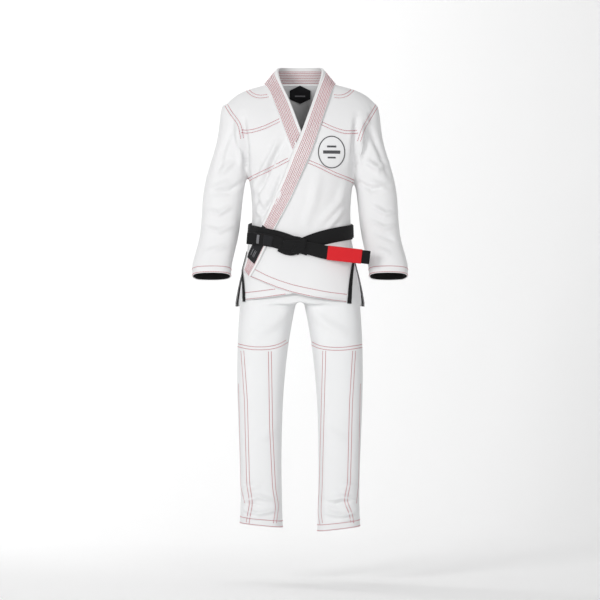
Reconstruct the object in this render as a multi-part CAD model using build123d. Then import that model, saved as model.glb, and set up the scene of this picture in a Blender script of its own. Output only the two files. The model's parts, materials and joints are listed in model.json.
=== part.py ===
"""A jiu-jitsu uniform: wrap-over jacket with a stiff lapel, knotted belt, and drawcord trousers.

The uniform hangs as it does on a wearer. +X is the wearer's left, the front faces -Y, +Z is up, in
millimetres. The origin is on the ground plane of the trouser hems, midway between the legs.

Every panel is a thin layer of a tube. A tube is a loft through superellipse stations, and a layer is
the space between two offsets of that tube, so stacked panels never touch.
"""

from build123d import *
from functools import lru_cache
from math import atan2, copysign, cos, pi, radians, sin
import os

# Cloth thicknesses
CLOTH = 1.6            # jacket and trouser cloth
GAP = 0.2              # air between stacked layers
TAPE = 1.2             # tapes, bands and patches sewn on the cloth
LAPEL_THICK = 5.0
LAPEL_WIDTH = 50.0
LAPEL_COVER = 1.0      # cloth over the foam core
CORE_INSET = 4.0       # how far the core stops short of its cover's edges
BELT_WIDTH = 40.0
BELT_THICK = 2.5

# Heights
CUFF_Z = 797.0         # sleeve ends
SLEEVE_TOP_Z = 1345.0
HEM_Z = 711.0          # jacket hem at the side vents
VENT_TOP_Z = 874.0
BACK_HEM_Z = 700.0
BACK_TAPE_TOP_Z = 866.0
ARMPIT = (166.0, 1106.0)
UNDERARM_Z = 1050.0    # sleeve and side run clear of each other below this
SHOULDER_SEAM_TOP = (229.0, 1327.0)
TORSO_TOP_Z = 1392.0
COLLAR_TOP_Z = 1437.0
ELBOW_Z = 960.0
KNEE_Z = 430.0
CROTCH_Z = 704.0
WAIST_TOP_Z = 960.0
KNEE_PATCH_TOP_Z = 583.0

# Joint clearances: the soft fold that joins two rigid tubes covers this much on each side of the pivot
ELBOW_FOLD = 50.0
KNEE_FOLD = 57.0
HIP_FOLD_LOW_Z = 640.0

# The lapel's neck-side edge is one straight line in the front view: x = LAPEL_X + LAPEL_SLOPE * (z - LAPEL_Z)
LAPEL_X, LAPEL_Z, LAPEL_SLOPE = 15.5, 1283.0, 0.356
LAPEL_END_Z = 800.0
LAPEL_TOP_Z = TORSO_TOP_Z - 6

# Cutting heights clear of every jacket edge
BELOW_HEM = 690.0
ABOVE_SHOULDERS = TORSO_TOP_Z + 20
FAR_BELOW, FAR_ABOVE = 600.0, TORSO_TOP_Z + 80
SLEEVE_OVERHANG = 46.0     # below the armpit the sleeve may lie this far inside the armhole line

# Seams, tapes and bands of the jacket
BACK_SKIRT_Y = 22.0    # front edge of the back skirt at the side vent
TAPE_WIDTH = 12.0
HEM_BAND = 28.0
BACK_HEM_BAND = 28.0
CUFF_BAND = 24.0
YOKE_LINE_Z = 1232.0   # where the shoulder patch ends at the armhole
YOKE_BACK_Z = 1245.0
YOKE_BACK_X = 106.0
SEAM_ALLOWANCE = 4.0
LABEL_THICK = 0.8

# Trouser bands
WAISTBAND = 41.5
BAND_THICK = 4.6
BAND_SKIN = 1.2        # cloth on each side of the drawcord channel
CHANNEL_INSET = 6.0
CORD_Z = WAIST_TOP_Z - 21
CORD_HALF = 6.0
EYELET_X, EYELET_RADIUS = 34.0, 5.5
LOOP_COUNT = 6
LOOP_WIDTH, LOOP_HEIGHT = 9.0, 34.0
TROUSER_HEM = 24.0
PATCH_BACK_Y = 10.0    # the knee patch wraps the front of the leg as far back as this

DEPTH_SHIFT = 7.43     # centres the finished uniform front to back on the origin
FAR = 600.0            # longer than anything a cutting prism has to pass through
SQUARENESS = 2.6       # superellipse exponent of every tube
OUTLINE_POINTS = 12
SEAM_STEPS = 1.25      # the loft's seam line lies at the back of the side, away from every panel edge

# Tube stations: (z, centre x, centre y, half width, half depth)
TORSO = (
    (680, 0, 0, 203, 129), (780, 0, 0, 184, 122), (870, 0, 0, 161, 112), (930, 0, 0, 150, 107),
    (1010, 0, 0, 147, 112), (1100, 0, 0, 158, 120), (1209, 0, 0, 213, 117), (1283, 0, 2, 239, 100),
    (1330, 0, 5, 222, 80), (1365, 0, 8, 175, 62), (1400, 0, 16, 78, 52),
)
SLEEVE = (
    (1350, 180, 4, 40, 40), (1290, 189, 2, 58, 58), (1209, 198, 0, 60, 66), (1085, 231, -2, 62, 64),
    (986, 243, -6, 61, 60), (887, 257, -18, 60, 57), (790, 271, -32, 59, 57),
)
LEG = (
    (715, 97, 0, 87, 90), (640, 108, 0, 82, 88), (471, 121, 0, 73, 76), (248, 122, 1, 65, 67),
    (-5, 120, 2, 67, 68),
)
SEAT = (
    (700, 0, 0, 190, 104), (760, 0, 0, 184, 108), (830, 0, 0, 168, 106), (900, 0, 0, 146, 97),
    (965, 0, 0, 140, 93),
)
COLLAR = ((1380, 0, 14, 104, 82), (1396, 0, 12, 92, 75), (1420, 0, 10, 72, 66), (1442, 0, 8, 64, 62))


def outline(station, offset):
    """Closed superellipse wire of one station, grown outward by offset."""
    z, cx, cy, half_width, half_depth = station
    a, b = half_width + offset, half_depth + offset
    points = []
    for i in range(OUTLINE_POINTS):
        angle = 2 * pi * (i + SEAM_STEPS) / OUTLINE_POINTS
        c, s = cos(angle), sin(angle)
        x = cx + a * copysign(abs(c) ** (2 / SQUARENESS), c)
        y = cy + b * copysign(abs(s) ** (2 / SQUARENESS), s)
        points.append((x, y, z))
    steps = [i / OUTLINE_POINTS for i in range(OUTLINE_POINTS + 1)]
    return Wire([Edge.make_spline(points, periodic=True, parameters=steps)])


@lru_cache
def body_of(tube, offset):
    """The tube filled solid, grown outward by offset."""
    stations = sorted(tube)
    return Solid.make_loft([outline(s, offset) for s in stations])


@lru_cache
def wall(tube, low, high):
    """The tube's wall between two offsets, over its whole height, open at both ends."""
    outer, inner = body_of(tube, high), body_of(tube, low)
    sides = [face for skin in (outer, inner) for face in skin.faces() if face.geom_type != GeomType.PLANE]
    stations = sorted(tube)
    ends = [Face(outline(s, high), [outline(s, low)]) for s in (stations[0], stations[-1])]
    return Solid(Shell(sides + ends)).fix()


def layer(tube, low, high, z_from, z_to):
    """The part of a tube's wall between two heights."""
    return wall(tube, low, high) & slab(z_from, z_to)


def slab(z_from, z_to):
    return Pos(0, 0, (z_from + z_to) / 2) * Box(2 * FAR, 2 * FAR, z_to - z_from)


def front_prism(points, y_from=-FAR, y_to=0.0):
    """A polygon drawn in the front view (x, z), run through the depth between two y values."""
    face = Face(Wire.make_polygon([(x, y_from, z) for x, z in points], close=True))
    return Solid.extrude(face, Vector(0, y_to - y_from, 0))


def side_prism(points, x_from=-FAR, x_to=FAR):
    """A polygon drawn in the side view (y, z), run across the width."""
    face = Face(Wire.make_polygon([(x_from, y, z) for y, z in points], close=True))
    return Solid.extrude(face, Vector(x_to - x_from, 0, 0))


def behind(y, z_from, z_to):
    """Everything behind a depth, between two heights."""
    return Pos(0, y + FAR / 2, (z_from + z_to) / 2) * Box(2 * FAR, FAR, z_to - z_from)


def mirrored(shape):
    return mirror(shape, about=Plane.YZ)


# Stacking order at the front, as offsets from the torso tube
INNER_PANEL = (0.0, CLOTH)
INNER_TOP = (INNER_PANEL[1] + GAP, INNER_PANEL[1] + GAP + TAPE)
INNER_LAPEL = (INNER_PANEL[1] + GAP, INNER_PANEL[1] + GAP + LAPEL_THICK)
OUTER_PANEL = (INNER_LAPEL[1] + GAP, INNER_LAPEL[1] + GAP + CLOTH)
OUTER_TOP = (OUTER_PANEL[1] + GAP, OUTER_PANEL[1] + GAP + TAPE)
OUTER_LAPEL = (OUTER_PANEL[1] + GAP, OUTER_PANEL[1] + GAP + LAPEL_THICK)
LAPEL_LABEL = (OUTER_LAPEL[1] + GAP, OUTER_LAPEL[1] + GAP + LABEL_THICK)
BELT_UNDER = (LAPEL_LABEL[1] + 0.5, LAPEL_LABEL[1] + 0.5 + BELT_THICK)
BELT_OVER = (BELT_UNDER[1] + GAP, BELT_UNDER[1] + GAP + BELT_THICK)
TAIL_LAYER = (BELT_OVER[1] + GAP, BELT_OVER[1] + GAP + BELT_THICK)


def lapel_edge(z, inset=0.0):
    """x of a line parallel to the lapel's neck-side edge, inset towards the panel."""
    run = inset / cos(atan2(LAPEL_SLOPE, 1))
    return LAPEL_X + LAPEL_SLOPE * (z - LAPEL_Z) + run


# Jacket outline in the front view, for the wearer's left front
HEM_CORNER = (160, HEM_Z)
VENT_TOP = (172, VENT_TOP_Z)
HEM_LINE = [(-155, 789), (-68, 756), (0, 737), (62, 724)]


def seam_x(z):
    """x of the left armhole seam in the front view: a slanting line, upright below the armpit."""
    (x0, z0), (x1, z1) = ARMPIT, SHOULDER_SEAM_TOP
    return x0 + max(0.0, (x1 - x0) / (z1 - z0) * (z - z0))


def seam_plane_prism():
    """The space between both armhole seams, and everything below them."""
    seam = [(seam_x(z), z) for z in (UNDERARM_Z, ARMPIT[1], FAR_ABOVE)]
    side = [(FAR / 2, FAR_BELOW), (FAR / 2, UNDERARM_Z)]
    half = side + seam
    return front_prism(half + [(-x, z) for x, z in reversed(half)], -FAR, FAR)


def left_front_region():
    """Front view of the outer front panel: lapel edge, hem, vent edge, side."""
    left = [(lapel_edge(z), z) for z in (ABOVE_SHOULDERS, LAPEL_END_Z)]
    side = [VENT_TOP, (FAR / 2, VENT_TOP_Z), (FAR / 2, ABOVE_SHOULDERS)]
    return front_prism(left + HEM_LINE + [HEM_CORNER] + side)


def lapel_region(z_from, z_to, inset=0.0):
    """Front view of the outer lapel band between two heights, its edges inset evenly."""
    near, away = inset, LAPEL_WIDTH - inset
    corners = [(lapel_edge(z_to, near), z_to), (lapel_edge(z_to, away), z_to)]
    run = LAPEL_SLOPE * LAPEL_WIDTH
    corners += [(lapel_edge(z_from - run, away), z_from - run), (lapel_edge(z_from, near), z_from)]
    return front_prism(corners)


def on_side(shape, side):
    """A shape drawn for the wearer's left, or its mirror image for the right."""
    return shape if side == "left" else mirrored(shape)


def front_panel(offsets, side):
    panel = layer(TORSO, *offsets, BELOW_HEM, TORSO_TOP_Z)
    panel = panel & on_side(left_front_region(), side)
    return panel & seam_plane_prism()


def back_panel():
    panel = layer(TORSO, *INNER_PANEL, BELOW_HEM, TORSO_TOP_Z)
    upper = behind(GAP, VENT_TOP_Z, ABOVE_SHOULDERS)
    skirt = behind(BACK_SKIRT_Y, BACK_HEM_Z, VENT_TOP_Z)
    return (panel & (upper + skirt)) & seam_plane_prism()


def lapel(offsets, side):
    """(cover, core) of one lapel band, from the collar to the hem: cloth over a foam core."""
    low, high = offsets
    cover_region = lapel_region(LAPEL_END_Z, ABOVE_SHOULDERS)
    core_region = lapel_region(LAPEL_END_Z + CORE_INSET, ABOVE_SHOULDERS, inset=CORE_INSET)
    cover = layer(TORSO, high - LAPEL_COVER, high, BELOW_HEM, LAPEL_TOP_Z)
    core = layer(TORSO, low, high - LAPEL_COVER - GAP, BELOW_HEM, LAPEL_TOP_Z - CORE_INSET)
    return cover & on_side(cover_region, side), core & on_side(core_region, side)


COLLAR_THICK = 7.0
COLLAR_FRONT_Y = -22.0     # the stand-up collar runs round the back from here


def collar():
    """(cover, core) of the stand-up collar round the back of the neck."""
    z_low = TORSO_TOP_Z + 3
    back = behind(COLLAR_FRONT_Y, z_low, COLLAR_TOP_Z)
    faces = [layer(COLLAR, low, low + LAPEL_COVER, z_low, COLLAR_TOP_Z) & back
             for low in (0, COLLAR_THICK - LAPEL_COVER)]
    middle = (LAPEL_COVER + GAP, COLLAR_THICK - LAPEL_COVER - GAP)
    core_back = behind(COLLAR_FRONT_Y + CORE_INSET, z_low, COLLAR_TOP_Z)
    core = layer(COLLAR, *middle, z_low + CORE_INSET, COLLAR_TOP_Z - CORE_INSET) & core_back
    return Compound(faces), core


def yoke(side):
    """Shoulder reinforcement: a patch over the shoulder, front and back, outboard of the lapel."""
    low, high = OUTER_TOP if side == "left" else INNER_TOP
    clear_of_lapel = LAPEL_WIDTH + 3
    z_neck = ABOVE_SHOULDERS - 5
    inner = [(lapel_edge(z, clear_of_lapel), z) for z in (z_neck, YOKE_LINE_Z + 26)]
    lower = [(YOKE_BACK_X + 14, YOKE_LINE_Z + 8), (FAR / 3, YOKE_LINE_Z)]
    front = front_prism(inner + lower + [(FAR / 3, z_neck)])
    back = Pos(FAR + YOKE_BACK_X, 0, 0) * behind(GAP, YOKE_BACK_Z, ABOVE_SHOULDERS)
    patch_front = layer(TORSO, low, high, YOKE_LINE_Z, LAPEL_TOP_Z) & on_side(front, side)
    patch_back = layer(TORSO, *INNER_TOP, YOKE_BACK_Z, LAPEL_TOP_Z) & on_side(back, side)
    return (patch_front + patch_back) & on_side(armhole_margin(), side)


def armhole_margin():
    """Inboard of the armhole seam by a seam allowance."""
    return Pos(-SEAM_ALLOWANCE, 0, 0) * seam_plane_prism()


def vent_tape(front, side):
    """Black tape on one edge of a side vent."""
    if front:
        offsets = OUTER_TOP if side == "left" else INNER_TOP
        (x0, z0), (x1, z1) = HEM_CORNER, VENT_TOP
        strip = front_prism([(x0 - TAPE_WIDTH, z0), (x0, z0), (x1, z1), (x1 - TAPE_WIDTH, z1)])
        return layer(TORSO, *offsets, HEM_Z - 6, VENT_TOP_Z - 3) & on_side(strip, side)
    y0, y1 = BACK_SKIRT_Y, BACK_SKIRT_Y + TAPE_WIDTH
    corners = [(y0, BACK_HEM_Z), (y1, BACK_HEM_Z), (y1, BACK_TAPE_TOP_Z), (y0, BACK_TAPE_TOP_Z)]
    strip = side_prism(corners, 0, FAR)
    return layer(TORSO, *INNER_TOP, BACK_HEM_Z, BACK_TAPE_TOP_Z) & on_side(strip, side)


def front_hem_band(side):
    """Folded hem of a front panel, between the lapel and the vent tape."""
    offsets = OUTER_TOP if side == "left" else INNER_TOP
    line = [(-116, 774)] + HEM_LINE[1:] + [(HEM_CORNER[0] - TAPE_WIDTH - 2, HEM_Z + 2)]
    band = line + [(x, z + HEM_BAND) for x, z in line[::-1]]
    region = front_prism(band) - lapel_region(LAPEL_END_Z - 40, ABOVE_SHOULDERS, inset=-2)
    return layer(TORSO, *offsets, BELOW_HEM, VENT_TOP_Z) & on_side(region, side)


def back_hem_band():
    start = BACK_SKIRT_Y + TAPE_WIDTH + 2
    z_high = BACK_HEM_Z + BACK_HEM_BAND
    return layer(TORSO, *INNER_TOP, BACK_HEM_Z, z_high) & behind(start, BACK_HEM_Z, z_high)


def neck_label():
    """Hexagonal label inside the back of the neck."""
    centre_z, half_high, half_flat, half_wide = 1338.0, 28.0, 12.0, 31.0
    right = [(0, centre_z + half_high), (half_wide, centre_z + half_flat), (half_wide, centre_z - half_flat)]
    left = [(0, centre_z - half_high), (-half_wide, centre_z - half_flat), (-half_wide, centre_z + half_flat)]
    hexagon = front_prism(right + left, 0, FAR)
    z_low, z_high = centre_z - half_high - 2, centre_z + half_high + 2
    return layer(TORSO, -GAP - LABEL_THICK, -GAP, z_low, z_high) & hexagon


def chest_crest():
    """Embroidered ring with three plain bars, a generic crest on the wearer's left chest."""
    centre_x, centre_z, radius, line = 99.0, 1176.0, 50.0, 3.5
    bar_height = 6.0
    bars = ((16, 14), (0, 24), (-16, 11))      # height above the centre, half width
    front = -FAR / 2
    turned = Pos(centre_x, front, centre_z) * Rot(X=90)
    shape = turned * (Cylinder(radius, FAR) - Cylinder(radius - line, FAR))
    for rise, half in bars:
        shape += Pos(centre_x, front, centre_z + rise) * Box(2 * half, FAR, bar_height)
    return layer(TORSO, *OUTER_TOP, centre_z - radius - 2, centre_z + radius + 2) & shape


def lapel_label():
    """Woven label sewn along the lapel; the belt covers its middle."""
    z_low, z_high, margin = 817.0, 927.0, 6.0
    near, away = margin, LAPEL_WIDTH - 2 - margin
    corners = [(z_high, near), (z_high, away), (z_low, away), (z_low, near)]
    region = front_prism([(lapel_edge(z, inset), z) for z, inset in corners])
    return layer(TORSO, *LAPEL_LABEL, LAPEL_END_Z, z_high + 10) & region


# Sleeves. The cloth folds in a slanting zone that starts at the armpit and rises outwards.
FOLD_ACROSS = (0.6, -0.8)      # front-view direction across the zone, from shoulder to hand
FOLD_LENGTH = 85.0


def beyond_armpit(distance):
    """Everything past a slanting plane, at a distance from the armpit along FOLD_ACROSS."""
    (ax, az), (dx, dz) = ARMPIT, FOLD_ACROSS
    px, pz = ax + dx * distance, az + dz * distance
    near = [(px - dz * reach, pz + dx * reach) for reach in (-FAR, FAR)]
    far = [(x + dx * FAR, z + dz * FAR) for x, z in reversed(near)]
    return front_prism(near + far, -FAR, FAR)


def outboard_of_seam():
    inner_x = ARMPIT[0] - SLEEVE_OVERHANG
    seam = [(seam_x(z) + GAP, z) for z in (UNDERARM_Z, ARMPIT[1], FAR_ABOVE)]
    inside = [(inner_x, FAR_BELOW), (inner_x, UNDERARM_Z)]
    outside = [(FAR, FAR_ABOVE), (FAR, FAR_BELOW)]
    return front_prism(inside + seam + outside, -FAR, FAR)


def whole_sleeve(z_from):
    """The sleeve tube from a height up to the armhole seam."""
    return layer(SLEEVE, -CLOTH, 0, z_from, SLEEVE_TOP_Z) & outboard_of_seam()


def sleeve_cap():
    return whole_sleeve(ARMPIT[1] - FOLD_LENGTH) - beyond_armpit(0)


def shoulder_fold():
    return whole_sleeve(ELBOW_Z + ELBOW_FOLD) & (beyond_armpit(GAP) - beyond_armpit(FOLD_LENGTH - GAP))


def upper_sleeve():
    return whole_sleeve(ELBOW_Z + ELBOW_FOLD) & beyond_armpit(FOLD_LENGTH)


def elbow_fold():
    return layer(SLEEVE, -CLOTH, 0, ELBOW_Z - ELBOW_FOLD + GAP, ELBOW_Z + ELBOW_FOLD - GAP)


def forearm_sleeve():
    return layer(SLEEVE, -CLOTH, 0, CUFF_Z, ELBOW_Z - ELBOW_FOLD)


def cuff_band():
    return layer(SLEEVE, GAP, GAP + TAPE, CUFF_Z, CUFF_Z + CUFF_BAND)


def cuff_lining():
    """Black tape inside the sleeve end."""
    inner = -CLOTH - GAP
    return layer(SLEEVE, inner - TAPE, inner, CUFF_Z + 1, CUFF_Z + 1 + CUFF_BAND)


# Belt: the middle of the band drops from the back to the knot
BELT_FRONT_Z, BELT_SIDE_Z, BELT_BACK_Z = 884.0, 932.0, 950.0
BELT_SIDE_X, BELT_BACK_Y = 170.0, 130.0
BELT_RISE = (BELT_SIDE_Z - BELT_FRONT_Z) / BELT_SIDE_X
BELT_TILT = (BELT_BACK_Z - BELT_SIDE_Z) / BELT_BACK_Y
BELT_LOW_Z, BELT_HIGH_Z = 840.0, 1010.0      # the band stays between these
WRAP_OPENING = 16.0
TORSO_FRONT_Y = 112.0                        # half depth of the torso behind the knot
KNOT_DEPTH = 9.0
KNOT_Y = -(TORSO_FRONT_Y + BELT_OVER[1] + 2 + KNOT_DEPTH / 2)


def belt_ring(offsets):
    """One closed turn: the front half rises to both sides, the back half rises to the rear."""
    half = BELT_WIDTH / 2
    reach = 260.0
    far_z = BELT_FRONT_Z + BELT_RISE * reach
    front = [(-reach, far_z - half), (0, BELT_FRONT_Z - half), (reach, far_z - half)]
    front += [(reach, far_z + half), (0, BELT_FRONT_Z + half), (-reach, far_z + half)]
    back_z = BELT_SIDE_Z + BELT_TILT * reach
    back = [(0, BELT_SIDE_Z - half), (reach, back_z - half), (reach, back_z + half), (0, BELT_SIDE_Z + half)]
    band = layer(TORSO, *offsets, BELT_LOW_Z, BELT_HIGH_Z)
    return (band & front_prism(front)) + (band & side_prism(back))


def belt_wrap(offsets):
    """One turn of the belt, left open behind the knot."""
    opening = Pos(0, -FAR / 2, BELT_FRONT_Z) * Box(WRAP_OPENING, FAR, BELT_HIGH_Z - BELT_LOW_Z)
    return belt_ring(offsets) - opening


def rounded_block(x, z, width, height, radius):
    """A flat cushion of the knot, centred at a place in the front view."""
    block = Box(width, KNOT_DEPTH, height)
    return Pos(x, KNOT_Y, z) * fillet(block.edges().filter_by(Axis.Y), radius)


def knot():
    """The flat knot at the front: its core, the loop above and the fold below."""
    core = rounded_block(-10, 882, 50, 36, 8)
    upper = rounded_block(-14, 910, 48, 18, 5)
    lower = rounded_block(-32, 852, 42, 22, 6)
    return Compound([core, upper, lower])


# The rank tail swings about its gathered root, just clear of the knot core
TAIL_ROOT = (27.0, 878.0)
TAIL_LONG = 180.0
TAIL_DROOP = 6.5                 # degrees below level
TAIL_ROOT_RADIUS = 10.0
TAIL_FLARE = 25.0                # distance over which the root widens to the full belt
TAIL_THICK = 5.0
TAIL_PLUS = 1.6                  # cloth thickness of the red sleeve round the tail
BAR_CLEARANCE = 0.2
RANK_FROM, RANK_LONG = 60.0, 102.0


def tail_frame(along):
    """Placement on the rank tail, at a distance from its root."""
    x, z = TAIL_ROOT
    droop = radians(TAIL_DROOP)
    return Pos(x + along * cos(droop), KNOT_Y, z - along * sin(droop)) * Rot(Y=TAIL_DROOP)


def rank_tail():
    half = BELT_WIDTH / 2
    outline_points = [(0, TAIL_ROOT_RADIUS), (TAIL_FLARE, half), (TAIL_LONG, half)]
    outline_points += [(x, -z) for x, z in reversed(outline_points)]
    flat = front_prism(outline_points, -TAIL_THICK / 2, TAIL_THICK / 2)
    root = Rot(X=90) * Cylinder(TAIL_ROOT_RADIUS, TAIL_THICK)
    return tail_frame(0) * (flat + root)


def rank_bar():
    """Red sleeve of cloth sewn round the tail."""
    gap, skin = 2 * BAR_CLEARANCE, 2 * TAIL_PLUS
    outer = Box(RANK_LONG, TAIL_THICK + skin, BELT_WIDTH + skin)
    inner = Box(RANK_LONG + 2, TAIL_THICK + gap, BELT_WIDTH + gap)
    return tail_frame(RANK_FROM + RANK_LONG / 2) * (outer - inner)


def label_tail():
    """The other tail, lying over the wrap on the wearer's right."""
    half = BELT_WIDTH / 2
    rise = BELT_RISE - 0.06
    line = [(x, BELT_FRONT_Z - 2 - rise * x) for x in (-148, -38)]
    corners = [(x, z - half) for x, z in line] + [(x, z + half) for x, z in reversed(line)]
    return layer(TORSO, *TAIL_LAYER, BELT_LOW_Z - 20, BELT_HIGH_Z) & front_prism(corners)


def belt_label():
    low = TAIL_LAYER[1] + GAP
    window = front_prism([(-137, 897), (-84, 884), (-84, 914), (-137, 927)])
    return layer(TORSO, low, low + LABEL_THICK, BELT_LOW_Z, BELT_HIGH_Z) & window


# Trousers
def seat():
    return layer(SEAT, -CLOTH, 0, CROTCH_Z + 6, WAIST_TOP_Z - WAISTBAND - GAP)


def waistband():
    """Folded waistband with a hollow channel for the drawcord."""
    z_low = WAIST_TOP_Z - WAISTBAND
    band = layer(SEAT, -BAND_THICK, 0, z_low, WAIST_TOP_Z)
    channel_in, channel_out = -BAND_THICK + BAND_SKIN, -BAND_SKIN
    channel = layer(SEAT, channel_in, channel_out, z_low + CHANNEL_INSET, WAIST_TOP_Z - CHANNEL_INSET)
    return band - channel - eyelets()


def eyelets():
    """Two round holes at the front where the drawcord leaves the channel."""
    return [Pos(x, -100, CORD_Z) * Rot(X=90) * Cylinder(EYELET_RADIUS, 30) for x in (-EYELET_X, EYELET_X)]


def cord_in_channel():
    """Flat cord lying in the waistband channel, open at the front between the eyelets."""
    air = 0.3
    low, high = -BAND_THICK + BAND_SKIN + air, -BAND_SKIN - air
    ring = layer(SEAT, low, high, CORD_Z - CORD_HALF, CORD_Z + CORD_HALF)
    opening = 2 * EYELET_X + 22
    return ring - Pos(0, -FAR / 2, CORD_Z) * Box(opening, FAR, 10 * CORD_HALF)


def cord_ends():
    """The cord's two free ends and the flat bow outside the waistband."""
    low, thin, thick = 0.4, 2.0, 3.0
    long, wide = 120.0, 12.0
    pieces = []
    for side in (-1, 1):
        corners = [(12, -10), (12 + wide, -10), (28 + wide, -10 - long), (28, -10 - long)]
        region = front_prism([(side * x, CORD_Z + z) for x, z in corners])
        pieces.append(layer(SEAT, low, thin, CORD_Z - long - 20, CORD_Z) & region)
    half = EYELET_X + 4
    bow = front_prism([(-half, CORD_Z - 9), (half, CORD_Z - 9), (half, CORD_Z + 7), (-half, CORD_Z + 7)])
    return pieces + [layer(SEAT, low, thick, CORD_Z - 20, CORD_Z + 20) & bow]


def cord_loops():
    """Narrow cloth loops on the outside of the waistband, none of them at the bow."""
    loops = []
    for i in range(LOOP_COUNT):
        block = Rot(Z=360 * i / LOOP_COUNT) * Pos(100, 0, CORD_Z) * Box(200, LOOP_WIDTH, LOOP_HEIGHT)
        z_low, z_high = CORD_Z - LOOP_HEIGHT / 2, CORD_Z + LOOP_HEIGHT / 2
        loops.append(layer(SEAT, GAP, GAP + TAPE, z_low, z_high) & block)
    return loops


def gusset():
    """Diamond of cloth between the legs, under the seat."""
    z = CROTCH_Z + 2
    half_long, half_wide = 80.0, 9.0
    corners = [(0, -half_long, z), (half_wide, 0, z), (0, half_long, z), (-half_wide, 0, z)]
    return Solid.extrude(Face(Wire.make_polygon(corners, close=True)), Vector(0, 0, CLOTH))


def hip_fold():
    return layer(LEG, -CLOTH, 0, HIP_FOLD_LOW_Z + GAP, CROTCH_Z)


def thigh():
    return layer(LEG, -CLOTH, 0, KNEE_Z + KNEE_FOLD, HIP_FOLD_LOW_Z)


def knee_fold():
    return layer(LEG, -CLOTH, 0, KNEE_Z - KNEE_FOLD + GAP, KNEE_Z + KNEE_FOLD - GAP)


def shin():
    return layer(LEG, -CLOTH, 0, 0, KNEE_Z - KNEE_FOLD)


def knee_patch(z_from, z_to):
    """Reinforcement sewn over the front of the leg."""
    front = behind(PATCH_BACK_Y - FAR, z_from, z_to)
    return layer(LEG, GAP, GAP + TAPE, z_from, z_to) & front


def trouser_hem():
    return layer(LEG, GAP, GAP + TAPE, 0, TROUSER_HEM)


def both_sides(name, shape):
    """The wearer's left piece and its mirror image."""
    return {f"left_{name}": shape, f"right_{name}": mirrored(shape)}


def jacket_pieces():
    left_cover, left_core = lapel(OUTER_LAPEL, "left")
    right_cover, right_core = lapel(INNER_LAPEL, "right")
    collar_cover, collar_core = collar()
    pieces = {
        "back_panel": back_panel(),
        "left_front_panel": front_panel(OUTER_PANEL, "left"),
        "right_front_panel": front_panel(INNER_PANEL, "right"),
        "left_lapel_cover": left_cover,
        "left_lapel_core": left_core,
        "right_lapel_cover": right_cover,
        "right_lapel_core": right_core,
        "neck_collar_cover": collar_cover,
        "neck_collar_core": collar_core,
        "back_hem_band": back_hem_band(),
        "neck_label": neck_label(),
        "chest_crest": chest_crest(),
        "lapel_label": lapel_label(),
    }
    for side in ("left", "right"):
        pieces[f"{side}_shoulder_yoke"] = yoke(side)
        pieces[f"{side}_front_vent_tape"] = vent_tape(True, side)
        pieces[f"{side}_back_vent_tape"] = vent_tape(False, side)
        pieces[f"{side}_front_hem_band"] = front_hem_band(side)
    sleeve = {
        "sleeve_cap": sleeve_cap(),
        "upper_sleeve": upper_sleeve(),
        "shoulder_fold": shoulder_fold(),
        "elbow_fold": elbow_fold(),
        "forearm_sleeve": forearm_sleeve(),
        "cuff_band": cuff_band(),
        "cuff_lining": cuff_lining(),
    }
    for name, shape in sleeve.items():
        pieces.update(both_sides(name, shape))
    return pieces


def belt_pieces():
    return {
        "belt_under_wrap": belt_wrap(BELT_UNDER),
        "belt_over_wrap": belt_wrap(BELT_OVER),
        "belt_knot": knot(),
        "belt_rank_tail": rank_tail(),
        "belt_rank_bar": rank_bar(),
        "belt_label_tail": label_tail(),
        "belt_label": belt_label(),
    }


def trouser_pieces():
    pieces = {
        "trouser_seat": seat(),
        "trouser_waistband": Compound([waistband(), *cord_loops()]),
        "trouser_drawcord": Compound([cord_in_channel(), *cord_ends()]),
        "crotch_gusset": gusset(),
    }
    leg = {
        "hip_fold": hip_fold(),
        "thigh": thigh(),
        "knee_fold": knee_fold(),
        "shin": shin(),
        "knee_patch_upper": knee_patch(KNEE_Z + KNEE_FOLD, KNEE_PATCH_TOP_Z),
        "knee_patch_lower": knee_patch(TROUSER_HEM + GAP, KNEE_Z - KNEE_FOLD),
        "trouser_hem": trouser_hem(),
    }
    for name, shape in leg.items():
        pieces.update(both_sides(name, shape))
    return pieces


def main():
    os.makedirs("parts", exist_ok=True)
    for name, shape in {**jacket_pieces(), **belt_pieces(), **trouser_pieces()}.items():
        export_step(Pos(0, DEPTH_SHIFT, 0) * shape, f"parts/{name}.step")


main()
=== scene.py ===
"""Looks of the jiu-jitsu uniform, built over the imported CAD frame.

Metres, unless a comment says millimetres. +X is the wearer's left and the front faces -Y.
"""

import json
import math

import bmesh
import bpy
import numpy as np
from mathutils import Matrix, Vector
from mathutils.bvhtree import BVHTree

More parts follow.
